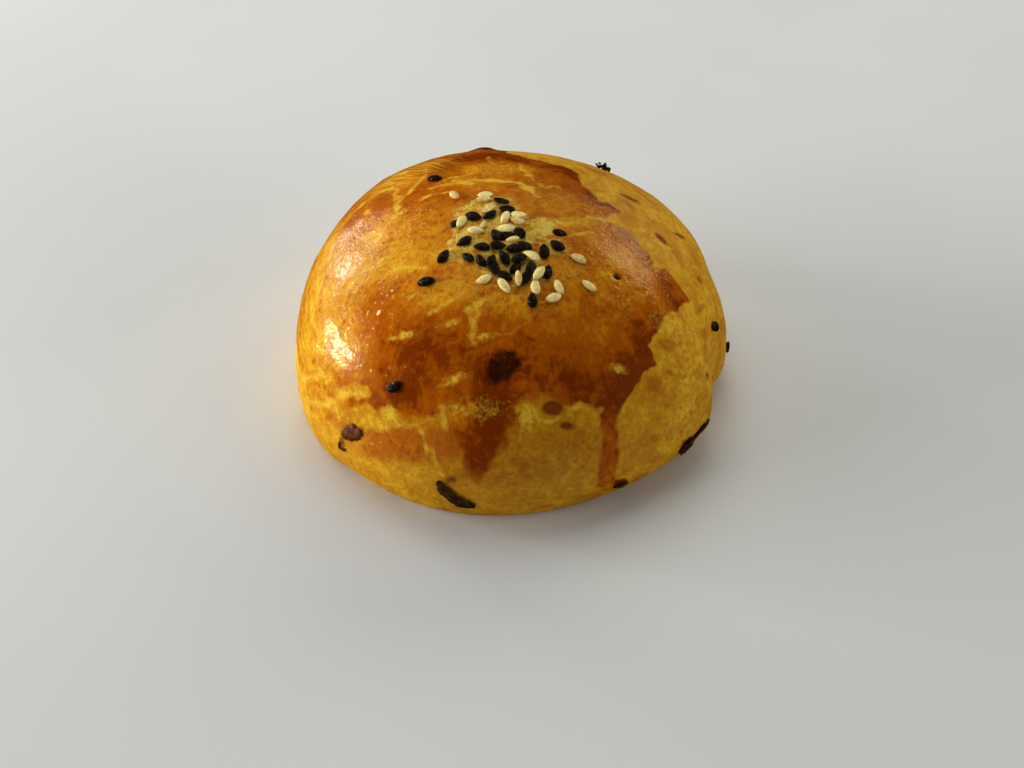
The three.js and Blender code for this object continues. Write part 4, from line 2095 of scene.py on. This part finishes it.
@dataclass
class Studio:
    """A pale floor, soft lights and the camera."""

    floor_finish: FloorFinish = field(default_factory=FloorFinish)
    floor_half: float = 3.5
    floor_cells: int = 24
    boxes: tuple[tuple[str, Softbox], ...] = (
        ("low_window", Softbox(166, 6, 0.7, 0.050, 0.036, 130.0, (1.0, 0.97, 0.90), True)),
        ("window", Softbox(138, 8, 0.8, 0.10, 0.09, 35.0, (0.84, 0.98, 1.10), True)),
        ("curtain", Softbox(131, 18, 1.0, 0.26, 0.30, 1.7, (1.0, 0.98, 0.92), True)),
        ("right_window", Softbox(47, 25, 0.9, 0.28, 0.30, 3.6, (0.96, 0.95, 0.70), True)),
        ("left_wall", Softbox(184, 11, 1.1, 0.9, 0.36, 13.8)),
        ("right_wall", Softbox(-2, 14, 1.0, 0.50, 0.30, 2.2)),
        ("front_right", Softbox(-28, 12, 1.1, 0.50, 0.40, 4.2)),
        ("overhead", Softbox(110, 64, 1.2, 0.9, 0.7, 2.5)),
        ("rear_box", Softbox(80, 34, 1.2, 0.8, 0.4, 2.8)),
    )
    sky: Colour = (0.95, 0.98, 1.0)
    sky_strength: float = 0.08
    camera_place: tuple[float, float, float] = (0.0, -0.2226, 0.2006)
    camera_pitch: float = 42.90
    lens: float = 45.84
    sensor: float = 36.0
    nearest: float = 0.01

    def build(self, target: Vector) -> None:
        """Build the whole studio.

        Args:
            target: The point that the lights face.
        """
        self._floor()
        for name, box in self.boxes:
            box.build(name, target)
        world = bpy.data.worlds.new("pale_room")
        world.use_nodes = True
        background = world.node_tree.nodes["Background"]
        background.inputs["Color"].default_value = (*self.sky, 1.0)
        background.inputs["Strength"].default_value = self.sky_strength
        scene = bpy.context.scene
        scene.world = world
        world.cycles_visibility.glossy = False
        scene.view_settings.view_transform = "Standard"
        self._camera()

    def _floor(self) -> None:
        """Lay the floor."""
        line = np.linspace(-self.floor_half, self.floor_half, self.floor_cells + 1)
        x, y = np.meshgrid(line, line)
        points = np.column_stack([x.ravel(), y.ravel(), np.zeros(x.size)])
        row = self.floor_cells + 1
        faces = [
            (k, k + 1, k + 1 + row, k + row)
            for j in range(self.floor_cells)
            for k in range(j * row, j * row + self.floor_cells)
        ]
        floor = make_object("floor", points, faces, self.floor_finish.build())
        floor.visible_glossy = False

    def _camera(self) -> None:
        """Set up the camera, looking down on the front of the bun."""
        camera = bpy.data.cameras.new("camera")
        camera.lens = self.lens
        camera.sensor_width = self.sensor
        camera.clip_start = self.nearest
        eye = bpy.data.objects.new("camera", camera)
        eye.location = self.camera_place
        eye.rotation_euler = (math.radians(90 - self.camera_pitch), 0.0, 0.0)
        bpy.context.scene.collection.objects.link(eye)
        bpy.context.scene.camera = eye


def report(piece: bpy.types.Object) -> None:
    """Log a finished piece with its face count and its size."""
    LOG.info("%s: %d faces, %s mm", piece.name, len(piece.data.polygons),
             " x ".join(f"{side / MM:.1f}" for side in piece.dimensions))


def main() -> None:
    """Build the samsa and its studio."""
    logging.basicConfig(level=logging.INFO, format="%(name)s: %(message)s")
    crust = Crust()
    report(crust.build())
    report(SesameSeeds(SeedKind.WHITE, WHITE_SPOTS, WHITE_SKIN).build(crust))
    black = SesameSeeds(SeedKind.BLACK, BLACK_SPOTS, BLACK_SKIN, 3.7, 2.1, seed=6, toasted=0.0)
    report(black.build(crust))
    report(CharBits().build(crust))
    low, high = (Vector(corner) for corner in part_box(NODE))
    Studio().build((low + high) / 2)
    bpy.context.view_layer.update()


if __name__ == "__main__":
    main()
